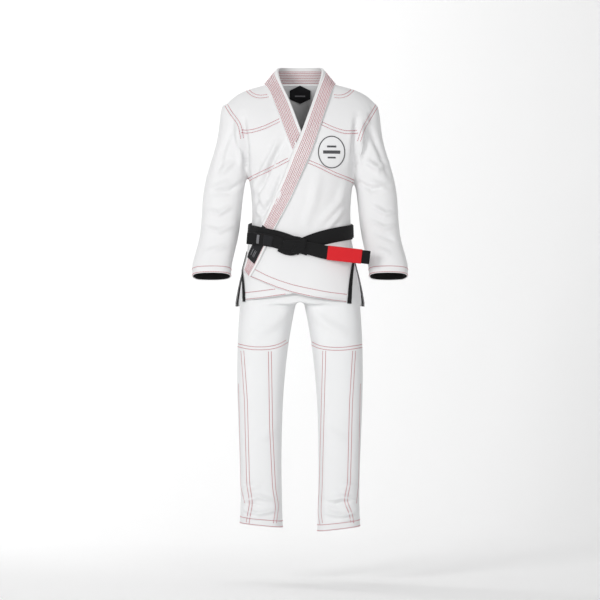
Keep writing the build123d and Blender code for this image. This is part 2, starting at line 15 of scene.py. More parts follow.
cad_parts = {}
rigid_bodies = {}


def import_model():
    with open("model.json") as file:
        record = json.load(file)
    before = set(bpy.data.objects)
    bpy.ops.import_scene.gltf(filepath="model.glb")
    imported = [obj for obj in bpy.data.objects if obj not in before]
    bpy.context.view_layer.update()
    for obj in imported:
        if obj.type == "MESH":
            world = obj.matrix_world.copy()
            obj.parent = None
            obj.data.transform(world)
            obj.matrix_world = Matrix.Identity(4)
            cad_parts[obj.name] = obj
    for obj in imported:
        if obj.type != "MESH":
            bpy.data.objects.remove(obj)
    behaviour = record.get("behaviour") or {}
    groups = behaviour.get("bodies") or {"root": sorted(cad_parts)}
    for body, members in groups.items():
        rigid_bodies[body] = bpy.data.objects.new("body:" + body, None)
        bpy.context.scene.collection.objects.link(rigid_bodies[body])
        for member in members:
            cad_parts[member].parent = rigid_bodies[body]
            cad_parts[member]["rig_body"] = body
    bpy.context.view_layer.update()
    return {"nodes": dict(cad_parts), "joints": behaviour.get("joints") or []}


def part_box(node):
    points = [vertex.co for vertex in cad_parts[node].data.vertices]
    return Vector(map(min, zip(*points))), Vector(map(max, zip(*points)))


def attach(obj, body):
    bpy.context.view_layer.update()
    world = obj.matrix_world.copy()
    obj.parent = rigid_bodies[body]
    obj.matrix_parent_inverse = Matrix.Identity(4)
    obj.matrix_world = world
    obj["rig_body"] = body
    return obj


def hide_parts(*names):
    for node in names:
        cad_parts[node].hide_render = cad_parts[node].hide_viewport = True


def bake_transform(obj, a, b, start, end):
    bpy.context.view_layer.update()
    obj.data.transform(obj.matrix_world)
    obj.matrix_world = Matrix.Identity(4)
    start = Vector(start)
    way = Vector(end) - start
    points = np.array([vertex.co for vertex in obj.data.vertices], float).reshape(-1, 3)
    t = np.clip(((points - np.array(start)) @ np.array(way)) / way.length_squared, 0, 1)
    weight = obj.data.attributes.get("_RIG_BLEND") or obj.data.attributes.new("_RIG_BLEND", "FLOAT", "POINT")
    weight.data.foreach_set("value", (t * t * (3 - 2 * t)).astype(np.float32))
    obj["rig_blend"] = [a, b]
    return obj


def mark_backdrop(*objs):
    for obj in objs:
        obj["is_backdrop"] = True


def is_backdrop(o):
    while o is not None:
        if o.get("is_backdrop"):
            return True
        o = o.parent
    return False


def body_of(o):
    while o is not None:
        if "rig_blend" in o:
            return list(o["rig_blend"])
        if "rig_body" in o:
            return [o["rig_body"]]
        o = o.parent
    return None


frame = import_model()
MM = 0.001

# ---------------------------------------------------------------------------------------------------------
# Reading the frame


def corner(node, high=False):
    """Lowest or highest corner of a CAD node as an array."""
    return np.array(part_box(node)[1 if high else 0])


def triangles(*nodes):
    """All triangles of some CAD nodes, shape (count, 3, 3)."""
    found = []
    for node in nodes:
        mesh = frame["nodes"][node].data
        mesh.calc_loop_triangles()
        points = np.array([v.co for v in mesh.vertices])
        found.append(points[np.array([t.vertices[:] for t in mesh.loop_triangles])])
    return np.concatenate(found)


def section(tris, z):
    """Segments in x, y where triangles cross a height, shape (count, 2, 2)."""
    depth = tris[:, :, 2] - z
    crossed = (depth.min(1) < 0) & (depth.max(1) >= 0)
    tris, depth = tris[crossed], depth[crossed]
    points = np.full((len(tris), 3, 2), np.nan)
    for i in range(3):
        j = (i + 1) % 3
        cut = (depth[:, i] < 0) != (depth[:, j] < 0)
        share = depth[cut, i] / (depth[cut, i] - depth[cut, j])
        points[cut, i] = tris[cut, i, :2] + share[:, None] * (tris[cut, j, :2] - tris[cut, i, :2])
    order = np.argsort(np.isnan(points[:, :, 0]), axis=1, kind="stable")
    return np.take_along_axis(points, order[:, :, None], 1)[:, :2]


def reach(segments, centre, angles):
    """Farthest crossing of each ray from a centre; nan where a ray meets nothing."""
    a, b = segments[:, 0] - centre, segments[:, 1] - centre
    ray = np.stack([np.cos(angles), np.sin(angles)], 1)
    side_a = ray[:, :1] * a[:, 1] - ray[:, 1:] * a[:, 0]
    side_b = ray[:, :1] * b[:, 1] - ray[:, 1:] * b[:, 0]
    hit = (side_a < 0) != (side_b < 0)
    share = np.where(hit, side_a / np.where(hit, side_a - side_b, 1), 0)
    along = ray[:, :1] * (a[:, 0] + share * (b - a)[:, 0]) + ray[:, 1:] * (a[:, 1] + share * (b - a)[:, 1])
    along = np.where(hit & (along > 0), along, -1)
    best = along.max(1)
    return np.where(best > 0, best, np.nan)


def tube(nodes, heights, centre, count=72):
    """Rings of points round CAD nodes; centre(z) is inside them. Gaps in a ring are bridged."""
    tris = triangles(*nodes)
    angles = np.linspace(0, 2 * math.pi, count, endpoint=False)
    low, high = tris[:, :, 2].min(), tris[:, :, 2].max()
    rings = []
    for z in heights:
        middle = np.array(centre(z))
        radius = reach(section(tris, np.clip(z, low + MM, high - MM)), middle, angles)
        known = ~np.isnan(radius)
        radius = np.interp(angles, angles[known], radius[known], period=2 * math.pi)
        xy = middle + radius[:, None] * np.stack([np.cos(angles), np.sin(angles)], 1)
        rings.append(np.column_stack([xy, np.full(count, z)]))
    return np.array(rings)


armpit_x = corner("left_sleeve_cap")[0]
armpit_z = 1.106
crown_z = corner("back_panel", True)[2]
cuff_z = corner("left_forearm_sleeve")[2]
jacket_hem_z = corner("back_hem_band")[2]
vent_top_z = corner("left_front_vent_tape", True)[2]
waist_z = corner("trouser_waistband", True)[2]
mid_y = (corner("back_panel", True)[1] + corner("left_front_panel")[1]) / 2
joint_at = {j["name"]: np.array(j.get("pos_m", [0, 0, 0])) for j in frame["joints"]}
SIDES = (("left", 1), ("right", -1))
SQUARE = 2.6           # superellipse exponent of the CAD tubes

# ---------------------------------------------------------------------------------------------------------
# Mesh helpers


def new_object(name, points, faces, material=None, smooth=True):
    """A mesh object from points and faces, linked to the scene."""
    mesh = bpy.data.meshes.new(name)
    mesh.from_pydata([tuple(p) for p in points], [], [tuple(f) for f in faces])
    mesh.update()
    item = bpy.data.objects.new(name, mesh)
    bpy.context.scene.collection.objects.link(item)
    if material:
        mesh.materials.append(material)
    mesh.polygons.foreach_set("use_smooth", [smooth] * len(mesh.polygons))
    return item


def grid_faces(rows, columns, closed=False, offset=0):
    """Quads of a grid whose points run row by row."""
    faces = []
    for r in range(rows - 1):
        for c in range(columns if closed else columns - 1):
            d = (c + 1) % columns
            faces.append([offset + i for i in (r * columns + c, r * columns + d,
                                                (r + 1) * columns + d, (r + 1) * columns + c)])
    return faces


def closed_tube(rings):
    """Points and faces of a tube with both ends capped by a fan."""
    rows, count = rings.shape[:2]
    points = [*rings.reshape(-1, 3), rings[0].mean(0), rings[-1].mean(0)]
    faces = grid_faces(rows, count, closed=True)
    for c in range(count):
        d = (c + 1) % count
        faces.append([c, rows * count, d])
        faces.append([(rows - 1) * count + c, (rows - 1) * count + d, rows * count + 1])
    return points, faces


def apply_modifiers(item):
    """Bake the modifiers of an object into its mesh."""
    graph = bpy.context.evaluated_depsgraph_get()
    mesh = bpy.data.meshes.new_from_object(item.evaluated_get(graph))
    item.modifiers.clear()
    item.data = mesh


def fuse(name, tubes, voxel, smoothing):
    """One even mesh round several overlapping tubes."""
    points, faces = [], []
    for rings in tubes:
        more_points, more_faces = closed_tube(rings)
        faces += [[i + len(points) for i in f] for f in more_faces]
        points += more_points
    item = new_object(name, points, faces)
    remesh = item.modifiers.new("remesh", "REMESH")
    remesh.mode, remesh.voxel_size = "VOXEL", voxel
    soften = item.modifiers.new("soften", "SMOOTH")
    soften.iterations, soften.factor = smoothing, 0.6
    apply_modifiers(item)
    return item


def get_points(item):
    """Vertex places of a mesh object, shape (count, 3)."""
    flat = np.empty(len(item.data.vertices) * 3)
    item.data.vertices.foreach_get("co", flat)
    return flat.reshape(-1, 3)


def get_normals(item):
    """Vertex normals of a mesh object, shape (count, 3)."""
    flat = np.empty(len(item.data.vertices) * 3)
    item.data.vertices.foreach_get("normal", flat)
    return flat.reshape(-1, 3)


def set_points(item, points):
    """Move every vertex of a mesh object."""
    item.data.vertices.foreach_set("co", np.asarray(points).ravel())
    item.data.update()


def trim(item, at, normal):
    """Cut away everything on the far side of a plane."""
    work = bmesh.new()
    work.from_mesh(item.data)
    everything = list(work.verts) + list(work.edges) + list(work.faces)
    bmesh.ops.bisect_plane(work, geom=everything, plane_co=at, plane_no=normal, clear_outer=True)
    work.to_mesh(item.data)
    work.free()


def drop(item, doomed):
    """Remove the vertices picked out by a mask, and their faces."""
    work = bmesh.new()
    work.from_mesh(item.data)
    work.verts.ensure_lookup_table()
    bmesh.ops.delete(work, geom=[work.verts[i] for i in np.nonzero(doomed)[0]], context="VERTS")
    work.to_mesh(item.data)
    work.free()


def drop_crumbs(item):
    """Keep only the largest connected sheet of a mesh."""
    work = bmesh.new()
    work.from_mesh(item.data)
    unseen, sheets = set(work.verts), []
    while unseen:
        sheet, waiting = set(), [next(iter(unseen))]
        while waiting:
            vertex = waiting.pop()
            if vertex in unseen:
                unseen.discard(vertex)
                sheet.add(vertex)
                waiting += [edge.other_vert(vertex) for edge in vertex.link_edges]
        sheets.append(sheet)
    largest = max(sheets, key=len)
    bmesh.ops.delete(work, geom=[v for v in work.verts if v not in largest], context="VERTS")
    work.to_mesh(item.data)
    work.free()


def thicken(item, thickness):
    """Give a sheet its cloth thickness, on the inner side."""
    solid = item.modifiers.new("cloth", "SOLIDIFY")
    solid.thickness, solid.offset = thickness, -1
    apply_modifiers(item)
    item.data.polygons.foreach_set("use_smooth", [True] * len(item.data.polygons))


def split(item, parts, material):
    """Pieces of one mesh, each picked by a function of face centres, shaded as the whole."""
    item.data.update()
    points, normals = get_points(item), get_normals(item)
    faces = [list(p.vertices) for p in item.data.polygons]
    centres = np.array([points[f].mean(0) for f in faces])
    left_over = np.ones(len(faces), bool)
    made = {}
    for name, chosen in parts:
        picked = np.nonzero(chosen(centres) & left_over)[0]
        left_over[picked] = False
        used = np.unique(np.concatenate([faces[i] for i in picked]))
        place = {v: i for i, v in enumerate(used)}
        piece = new_object(name, points[used], [[place[v] for v in faces[i]] for i in picked], material)
        piece.data.normals_split_custom_set_from_vertices([tuple(n) for n in normals[used]])
        made[name] = piece
    bpy.data.objects.remove(item)
    return made


def surface_of(*items):
    """A search tree over meshes, for laying things on them."""
    points, faces = [], []
    for item in items:
        faces += [[i + len(points) for i in p.vertices] for p in item.data.polygons]
        points += [v.co.copy() for v in item.data.vertices]
    return BVHTree.FromPolygons(points, faces)


def path_points(path, step):
    """A polyline resampled at an even step, corners softened."""
    path = np.array(path, float)
    lengths = np.r_[0, np.cumsum(np.linalg.norm(np.diff(path, axis=0), axis=1))]
    count = max(2, int(round(lengths[-1] / step)) + 1)
    even = np.linspace(0, lengths[-1], count)
    out = np.column_stack([np.interp(even, lengths, path[:, i]) for i in range(path.shape[1])])
    for _ in range(6 if len(path) > 2 else 0):
        out[1:-1] = (out[:-2] + 2 * out[1:-1] + out[2:]) / 4
    return out


def lay(path, tree, facing=-1, step=0.004, lift=0.0):
    """Project a front-view path (x, z) onto a surface; facing -1 is the front, 1 the back."""
    spots, normals = [], []
    for x, z in path_points(path, step):
        hit, normal, _, _ = tree.ray_cast(Vector((x, facing * 1.0, z)), Vector((0, -facing, 0)))
        if hit is None:
            continue
        normal = normal if normal.y * facing > 0 else -normal
        spots.append(np.array(hit) + lift * np.array(normal))
        normals.append(np.array(normal))
    return np.array(spots), np.array(normals)


def ease(values, rounds, closed=False):
    """Running average along a list of points."""
    values = np.array(values, float)
    for _ in range(rounds):
        if closed:
            values = (np.roll(values, 1, 0) + 2 * values + np.roll(values, -1, 0)) / 4
        else:
            values[1:-1] = (values[:-2] + 2 * values[1:-1] + values[2:]) / 4
    return values


def unit(vectors):
    """Rows scaled to length one."""
    return vectors / np.maximum(np.linalg.norm(vectors, axis=-1, keepdims=True), 1e-9)


def ribbon(name, edge_a, edge_b, normals, thick, material, rows=0, closed=False, columns=13, groove=0.12):
    """A band between two edges with rounded sides; rows of stitching press grooves into its outer face."""
    share = np.linspace(0, 1, columns)
    round_off = np.clip(np.minimum(share, 1 - share) * columns / 1.5, 0, 1) ** 0.5
    height = thick * round_off
    if rows:
        height = height * (1 - groove * np.abs(np.cos(math.pi * rows * share)) ** 6)
    outer = [(s, h) for s, h in zip(share, height)]
    profile = outer + [(s, 0.0) for s in share[::-1]]
    edge_a, edge_b, normals = np.array(edge_a), np.array(edge_b), unit(np.array(normals))
    count = len(profile)
    points = np.stack([edge_a * (1 - s) + edge_b * s + normals * h for s, h in profile], 1)
    faces = grid_faces(len(edge_a), count, closed=True)
    if closed:
        last = (len(edge_a) - 1) * count
        for c in range(count):
            d = (c + 1) % count
            faces.append([last + c, last + d, d, c])
    else:
        faces.append(list(range(count))[::-1])
        faces.append([(len(edge_a) - 1) * count + c for c in range(count)])
    item = new_object(name, points.reshape(-1, 3), faces, material)
    work = bmesh.new()
    work.from_mesh(item.data)
    bmesh.ops.recalc_face_normals(work, faces=work.faces)
    work.to_mesh(item.data)
    work.free()
    return item


def between(values, travelled, distance):
    """Interpolated row of a list at a distance along a run."""
    return np.array([np.interp(distance, travelled, values[:, i]) for i in range(3)])


def stitches(name, runs, material, length=4.2 * MM, gap=1.0 * MM, width=1.9 * MM):
    """Short raised threads along (points, normals) runs."""
    points, faces = [], []
    for spots, normals in runs:
        if len(spots) < 2:
            continue
        travelled = np.r_[0, np.cumsum(np.linalg.norm(np.diff(spots, axis=0), axis=1))]
        for start in np.arange(0, travelled[-1] - length, length + gap):
            a, b = between(spots, travelled, start), between(spots, travelled, start + length)
            up = unit(between(normals, travelled, start + length / 2))
            across = unit(np.cross(b - a, up)) * width / 2
            top = up * width * 0.45
            base = len(points)
            points += [a - across, a + across, b + across, b - across,
                       a * 0.75 + b * 0.25 + top, a * 0.25 + b * 0.75 + top]
            faces += [[base, base + 4, base + 5, base + 3], [base + 1, base + 2, base + 5, base + 4],
                      [base, base + 1, base + 4], [base + 2, base + 3, base + 5],
                      [base, base + 3, base + 2, base + 1]]
    return new_object(name, points, faces, material)


def twin(path, apart=9 * MM):
    """Two parallel front-view paths."""
    path = np.array(path, float)
    run = unit(np.gradient(path, axis=0))
    side = np.column_stack([-run[:, 1], run[:, 0]]) * apart / 2
    return [path + side, path - side]


def distance_to(points, path):
    """Distance of front-view points to a path, and how far along it (0 to 1) they are."""
    path = np.array(path, float)
    lengths = np.linalg.norm(np.diff(path, axis=0), axis=1)
    total, passed = lengths.sum(), 0.0
    best = np.full(len(points), 1e9)
    where = np.zeros(len(points))
    for i, length in enumerate(lengths):
        run = (path[i + 1] - path[i]) / length
        along = np.clip((points - path[i]) @ run, 0, length)
        away = np.linalg.norm(points - path[i] - along[:, None] * run, axis=1)
        closer = away < best
        best[closer] = away[closer]
        where[closer] = (passed + along[closer]) / total
        passed += length
    return best, where


FOLD_DEPTH = 3.1           # scales the heights of all folds


def crease(item, folds):
    """Soft folds: (front-view path in mm, facing, width in mm, height in mm)."""
    points, normals = get_points(item), get_normals(item)
    lift = np.zeros(len(points))
    for path, facing, width, height in folds:
        away, where = distance_to(points[:, [0, 2]] / MM, path)
        ridge = (1 - (away / width) ** 2 * 0.8) * np.exp(-((away / width) ** 2))
        turned = np.clip(normals[:, 1] * facing * 1.6 + 0.2, 0, 1)
        taper = np.sin(math.pi * np.clip(where, 0.02, 0.98)) ** 0.7
        lift += height * FOLD_DEPTH * MM * ridge * taper * turned
    set_points(item, points + normals * lift[:, None])


def mirror_folds(folds):
    """Folds together with their mirror images."""
    return folds + [([(-x, z) for x, z in path], facing, w, h) for path, facing, w, h in folds]


# ---------------------------------------------------------------------------------------------------------
# Materials


def link(tree, start, end):
    """Join two sockets of a node tree."""
    tree.links.new(start, end)


def cloth(name, colour, grain, depth, rough=0.85, sheen=0.25, shade=0.03):
    """Woven fabric: small oval grains as bump, with a faint large-scale change of colour."""
    material = bpy.data.materials.new(name)
    material.use_nodes = True
    tree = material.node_tree
    shader = tree.nodes["Principled BSDF"]
    shader.inputs["Roughness"].default_value = rough
    shader.inputs["Sheen Weight"].default_value = sheen
    shader.inputs["Sheen Roughness"].default_value = 0.6
    shader.inputs["Specular IOR Level"].default_value = 0.25
    place = tree.nodes.new("ShaderNodeTexCoord")
    stretch = tree.nodes.new("ShaderNodeMapping")
    stretch.inputs["Scale"].default_value = grain
    weave = tree.nodes.new("ShaderNodeTexVoronoi")
    weave.feature = "SMOOTH_F1"
    weave.inputs["Scale"].default_value = 1.0
    bump = tree.nodes.new("ShaderNodeBump")
    bump.invert = True
    bump.inputs["Strength"].default_value = depth
    bump.inputs["Distance"].default_value = 0.6 * MM
    cloud = tree.nodes.new("ShaderNodeTexNoise")
    cloud.inputs["Scale"].default_value = 9.0
    cloud.inputs["Detail"].default_value = 3.0
    mix = tree.nodes.new("ShaderNodeMix")
    mix.data_type = "RGBA"
    mix.inputs["A"].default_value = (*[c * (1 - shade) for c in colour], 1)
    mix.inputs["B"].default_value = (*colour, 1)
    link(tree, place.outputs["Object"], stretch.inputs["Vector"])
    link(tree, stretch.outputs["Vector"], weave.inputs["Vector"])
    link(tree, weave.outputs["Distance"], bump.inputs["Height"])
    link(tree, place.outputs["Object"], cloud.inputs["Vector"])
    link(tree, cloud.outputs["Fac"], mix.inputs["Factor"])
    link(tree, mix.outputs["Result"], shader.inputs["Base Color"])
    link(tree, bump.outputs["Normal"], shader.inputs["Normal"])
    return material


PEARL = (420, 420, 700)
TWILL = (800, 800, 500)
FINE = (900, 900, 900)
jacket_cloth = cloth("jacket_pearl_weave", (0.76, 0.76, 0.765), PEARL, 0.35)
trouser_cloth = cloth("trouser_twill", (0.77, 0.775, 0.78), TWILL, 0.25)
lapel_cloth = cloth("lapel_cotton", (0.78, 0.78, 0.78), FINE, 0.2)
belt_cloth = cloth("belt_black_cotton", (0.006, 0.006, 0.0065), FINE, 0.4, sheen=0.03, shade=0.2)
bar_cloth = cloth("bar_red_cotton", (0.62, 0.012, 0.018), FINE, 0.35, sheen=0.1, shade=0.08)
tape_cloth = cloth("black_tape", (0.006, 0.006, 0.0065), FINE, 0.3, sheen=0.03, shade=0.2)
label_cloth = cloth("woven_label", (0.012, 0.012, 0.014), FINE, 0.2, sheen=0.05, shade=0.2)
label_mark = cloth("label_plain_mark", (0.16, 0.16, 0.17), FINE, 0.2, shade=0.1)
thread = cloth("pink_thread", (0.50, 0.055, 0.10), FINE, 0.2, rough=0.6)
grey_thread = cloth("grey_embroidery", (0.07, 0.07, 0.075), FINE, 0.4)
cord_cloth = cloth("cord_white", (0.75, 0.75, 0.73), FINE, 0.5)

# ---------------------------------------------------------------------------------------------------------
# Surfaces of the jacket

back_tris = triangles("back_panel")
inner_tris = triangles("right_front_panel")
outer_tris = triangles("left_front_panel")
GIRDLE_TOP_Z = 0.97        # the skirts and the belt lie below this
LEVELS = np.linspace(jacket_hem_z + 12 * MM, GIRDLE_TOP_Z, 16)


def measured(tris, pick):
    """One number from the section of some triangles at every level."""
    return np.array([pick(section(tris, z).reshape(-1, 2)) for z in LEVELS])


half_width = measured(back_tris, lambda p: np.abs(p[:, 0]).max())
back_y = measured(back_tris, lambda p: p[:, 1].max())
inner_y = measured(inner_tris, lambda p: p[:, 1].min())
outer_y = measured(outer_tris, lambda p: p[:, 1].min())
belt_low, belt_high = corner("belt_over_wrap")[2], corner("belt_over_wrap", True)[2]
BELT_WIDE = 41 * MM
belt_front_z = belt_low + BELT_WIDE / 2
belt_back_z = belt_high - BELT_WIDE / 2
BELT_SIDE_SHARE = 0.74     # how far the belt has risen at the sides, from front to back
belt_side_z = belt_front_z + BELT_SIDE_SHARE * (belt_back_z - belt_front_z)


def belt_middle(x, y):
    """Height of the belt's centre line, which dips to the knot."""
    side = np.interp(LEVELS.mean(), LEVELS, half_width)
    front = belt_front_z + (belt_side_z - belt_front_z) * np.clip(np.abs(x) / side, 0, 1) ** 0.9
    behind = belt_side_z + (belt_back_z - belt_side_z) * np.clip((y - mid_y) / 0.11, 0, 1)
    return np.where(y < mid_y, front, behind)


def girdle(x, z, which, lift=0.0):
    """y of the jacket's lower part: 'inner' or 'outer' front, or 'back'."""
    wide = np.interp(z, LEVELS, half_width) + lift
    levels = {"inner": inner_y, "outer": outer_y, "back": back_y}[which]
    deep = np.abs(np.interp(z, LEVELS, levels) - mid_y) + lift
    share = np.clip(np.abs(x) / wide, 0, 0.9995)
    depth = deep * (1 - share ** SQUARE) ** (1 / SQUARE)
    return mid_y + depth if which == "back" else mid_y - depth


FLAP_COLUMNS, FLAP_ROWS = 64, 40
UNDER_BELT = 12 * MM       # how far a skirt runs up past the belt's middle


def front_flap(name, which, hem, left_edge, right_edge):
    """A front skirt: hem, left and right edges as front-view points in mm, from hem to belt."""
    across, down = np.linspace(0, 1, FLAP_COLUMNS), np.linspace(0, 1, FLAP_ROWS)
    hem, left_edge, right_edge = [np.array(e, float) * MM for e in (hem, left_edge, right_edge)]
    hem_lengths = np.r_[0, np.cumsum(np.linalg.norm(np.diff(hem, axis=0), axis=1))]
    points = []
    for v in down:
        ends = [np.array([np.interp(v, np.linspace(0, 1, len(e)), e[:, i]) for i in (0, 1)])
                for e in (left_edge, right_edge)]
        x = ends[0][0] + across * (ends[1][0] - ends[0][0])
        hem_x = np.interp(across * hem_lengths[-1], hem_lengths, hem[:, 0])
        hem_z = np.interp(across * hem_lengths[-1], hem_lengths, hem[:, 1])
        x = hem_x * (1 - v) ** 1.5 + x * (1 - (1 - v) ** 1.5)
        top = belt_middle(x, -1.0) + UNDER_BELT
        z = hem_z * (1 - v) + top * v
        x = np.clip(x, -np.interp(z, LEVELS, half_width), np.interp(z, LEVELS, half_width))
        sway = 2.2 * MM * np.sin(across * 11 + 1.3 * v) * (1 - v) * np.sin(math.pi * across)
        points.append(np.column_stack([x, girdle(x, z, which) - sway, z]))
    return new_object(name, np.concatenate(points), grid_faces(FLAP_ROWS, FLAP_COLUMNS), jacket_cloth)


BACK_HEM_RISE = 14 * MM
VENT_BACK_Y = 22 * MM      # where the back skirt's edge stands behind the middle plane


def back_skirt():
    """The back skirt, from one vent edge round the back to the other."""
    columns, rows = 110, 44
    points = []
    for v in np.linspace(0, 1, rows):
        base_z = jacket_hem_z * (1 - v) + belt_side_z * v
        open_y = VENT_BACK_Y * np.clip((vent_top_z - base_z) / (20 * MM), 0, 1)
        wide = np.interp(base_z, LEVELS, half_width)
        deep = np.interp(base_z, LEVELS, back_y) - mid_y
        first = math.asin((open_y / deep) ** (SQUARE / 2))
        turn = np.linspace(first, math.pi - first, columns)
        c, s = np.cos(turn), np.sin(turn)
        x = wide * np.sign(c) * np.abs(c) ** (2 / SQUARE)
        y = mid_y + deep * np.abs(s) ** (2 / SQUARE)
        top = belt_middle(x, y) + UNDER_BELT
        z = (jacket_hem_z - 2 * MM + BACK_HEM_RISE * s ** 2) * (1 - v) + top * v
        sway = 3.5 * MM * np.sin(turn * 9) * (1 - v) ** 1.3
        points.append(np.column_stack([x * (1 + sway / 0.2), y + sway, z]))
    return new_object("back_skirt", np.concatenate(points), grid_faces(rows, columns), jacket_cloth)


OUTER_HEM = [(-178, 812), (-154, 790), (-110, 772), (-68, 755), (-21, 740), (30, 729), (86, 718),
             (146, 711), (158, 711)]
INNER_HEM = [(-176, 716), (-110, 724), (-60, 732), (-20, 739), (60, 748)]
outer_flap = front_flap("outer_front_skirt", "outer", OUTER_HEM, [(-178, 812), (-142, 870), (-106, 930)],
                        [(158, 711), (166, 800), (172, 874), (160, 940)])
inner_flap = front_flap("inner_front_skirt", "inner", INNER_HEM,
                        [(-176, 716), (-180, 800), (-176, 874), (-160, 940)], [(60, 748), (60, 880)])
rear_flap = back_skirt()
outer_grid = get_points(outer_flap).reshape(FLAP_ROWS, FLAP_COLUMNS, 3)
inner_grid = get_points(inner_flap).reshape(FLAP_ROWS, FLAP_COLUMNS, 3)


def torso_tube():
    """Rings round the trunk of the jacket, from the belt to above the neck."""
    heights = np.r_[np.linspace(0.850, 1.300, 60), np.linspace(1.306, crown_z, 26), crown_z + 30 * MM]
    names = ("back_panel", "left_front_panel", "right_front_panel")
    return tube(names, heights, lambda z: (0, np.interp(z, [1.2, crown_z], [mid_y, mid_y + 14 * MM])))


SLEEVE_TOP_X, SLEEVE_TOP_Z = 0.205, 1.33


def sleeve_middle(side, sign):
    """Centre line of a sleeve, as a function of height, from the joints and the cuff."""
    low, high = corner(f"{side}_cuff_band"), corner(f"{side}_cuff_band", True)
    elbow, shoulder = joint_at[f"{side}_elbow"], joint_at[f"{side}_shoulder"]
    levels = [cuff_z, elbow[2], shoulder[2], SLEEVE_TOP_Z]
    xs = [(low[0] + high[0]) / 2, elbow[0], shoulder[0], sign * SLEEVE_TOP_X]
    ys = [(low[1] + high[1]) / 2, elbow[1], shoulder[1], shoulder[1]]
    return lambda z: (np.interp(z, levels, xs), np.interp(z, levels, ys))


def sleeve_tube(side, sign):
    """Rings round one sleeve, from past the cuff to the shoulder."""
    heights = np.r_[cuff_z - 25 * MM, np.linspace(cuff_z, 1.325, 80)]
    parts = ("sleeve_cap", "shoulder_fold", "upper_sleeve", "elbow_fold", "forearm_sleeve")
    names = [f"{side}_{part}" for part in parts]
    middle = sleeve_middle(side, sign)
    rings = tube(names, heights, middle)
    below = np.array(middle(cuff_z)) - np.array(middle(cuff_z + 0.05))
    rings[0, :, :2] = rings[1, :, :2] + below * 0.5
    return rings


# Seams of the jacket as front-view paths in mm
FRONT_SEAMS = [
    [(-166, 1374), (-151, 1353), (-124, 1344), (-97, 1350)],
    [(166, 1374), (151, 1353), (124, 1344), (103, 1348)],
    [(-228, 1321), (-210, 1291), (-186, 1262), (-178, 1215)],
    [(238, 1321), (217, 1285), (193, 1244), (181, 1205)],
    [(-180, 1239), (-157, 1235), (-109, 1249), (-62, 1272)],
    [(66, 1262), (104, 1244), (140, 1233), (179, 1237)],
    [(-162, 1090), (-109, 1113), (-32, 1152)],
    [(27, 1143), (57, 1131), (104, 1107), (170, 1084)],
]
BACK_SEAMS = [
    [(228, 1321), (212, 1291), (190, 1262), (178, 1215), (172, 1150)],
    [(0, 1268), (90, 1262), (176, 1240)],
    [(0, 1120), (80, 1116), (158, 1100)],
]

JACKET_FOLDS = mirror_folds([
    ([(-176, 1290), (-170, 1200), (-166, 1110)], -1, 13, -5.0),
    ([(-190, 1262), (-184, 1190), (-180, 1130)], -1, 13, 3.5),
    ([(-176, 1290), (-170, 1200), (-166, 1110)], 1, 14, -5.0),
    ([(-205, 1150), (-250, 1105)], -1, 12, 2.5),
    ([(-215, 1085), (-270, 1060)], -1, 12, 2.2),
    ([(-222, 1020), (-262, 1000), (-295, 1015)], 1, 10, 3.0),
    ([(-150, 1130), (-90, 1060)], 1, 16, 2.5),
]) + [
    ([(-44, 1216), (-72, 1165), (-97, 1116), (-122, 1062), (-140, 990)], -1, 8, -4.0),
    ([(-62, 1222), (-90, 1168), (-118, 1110), (-142, 1050)], -1, 10, 2.6),
    ([(-52, 1112), (-87, 1026), (-112, 985), (-140, 950)], -1, 9, -3.4),
    ([(205, 1262), (246, 1180), (280, 1090)], -1, 12, -3.0),
    ([(172, 1088), (222, 1058), (290, 1078)], -1, 10, -3.4),
    ([(196, 1150), (240, 1128), (282, 1150)], -1, 11, 2.4),
    ([(-205, 1262), (-238, 1180), (-258, 1090)], -1, 12, -2.4),
    ([(-174, 1085), (-220, 1052), (-282, 1050)], -1, 10, -2.8),
    ([(-150, 1130), (-125, 1050), (-95, 985)], -1, 13, 3.0),
    ([(-140, 1040), (-125, 990), (-110, 950)], -1, 10, 2.4),
    ([(150, 1100), (120, 1020), (60, 950)], -1, 16, 2.6),
    ([(140, 1010), (110, 970), (80, 935)], -1, 11, 2.6),
    ([(60, 1120), (40, 1020), (10, 940)], -1, 20, 1.8),
    ([(222, 1010), (262, 985), (298, 990)], -1, 10, 3.4),
    ([(215, 965), (258, 940), (300, 950)], -1, 9, 3.0),
    ([(225, 930), (262, 915), (295, 900)], -1, 10, -2.4),
    ([(232, 880), (280, 858)], -1, 11, 2.4),
    ([(-212, 1010), (-250, 985), (-290, 1000)], -1, 10, 2.8),
    ([(-205, 950), (-250, 930), (-300, 945)], -1, 10, 2.6),
    ([(-225, 885), (-290, 865)], -1, 11, 2.2),
    ([(-120, 1010), (0, 985), (120, 1010)], 1, 16, 3.0),
    ([(-100, 1060), (0, 1035), (100, 1055)], 1, 18, 2.4),
]

voxel = 4.5 * MM
shell = fuse("jacket_shell", [torso_tube(), *[sleeve_tube(*s) for s in SIDES]], voxel, 10)
crease(shell, JACKET_FOLDS + [(path, -1, 6, -0.6) for path in FRONT_SEAMS]
       + mirror_folds([(path, 1, 6, -0.6) for path in BACK_SEAMS]))

# ---------------------------------------------------------------------------------------------------------
# The lapel band: one strip from the outer hem, round the neck, down to the inner crossing

skin_tree = surface_of(shell, outer_flap)


def cast(spots, tree, facing=-1):
    """Front-view points (x, z) carried along y onto a surface."""
    found, normals = [], []
    for x, z in spots:
        hit, normal, _, _ = tree.ray_cast(Vector((x, facing, z)), Vector((0, -facing, 0)))
        if hit is None:
            hit, normal, _, _ = tree.find_nearest(Vector((x, facing * 0.05, z)))
        found.append(np.array(hit))
        normals.append(np.array(normal if normal.y * facing > 0 else -normal))
    return np.array(found), np.array(normals)


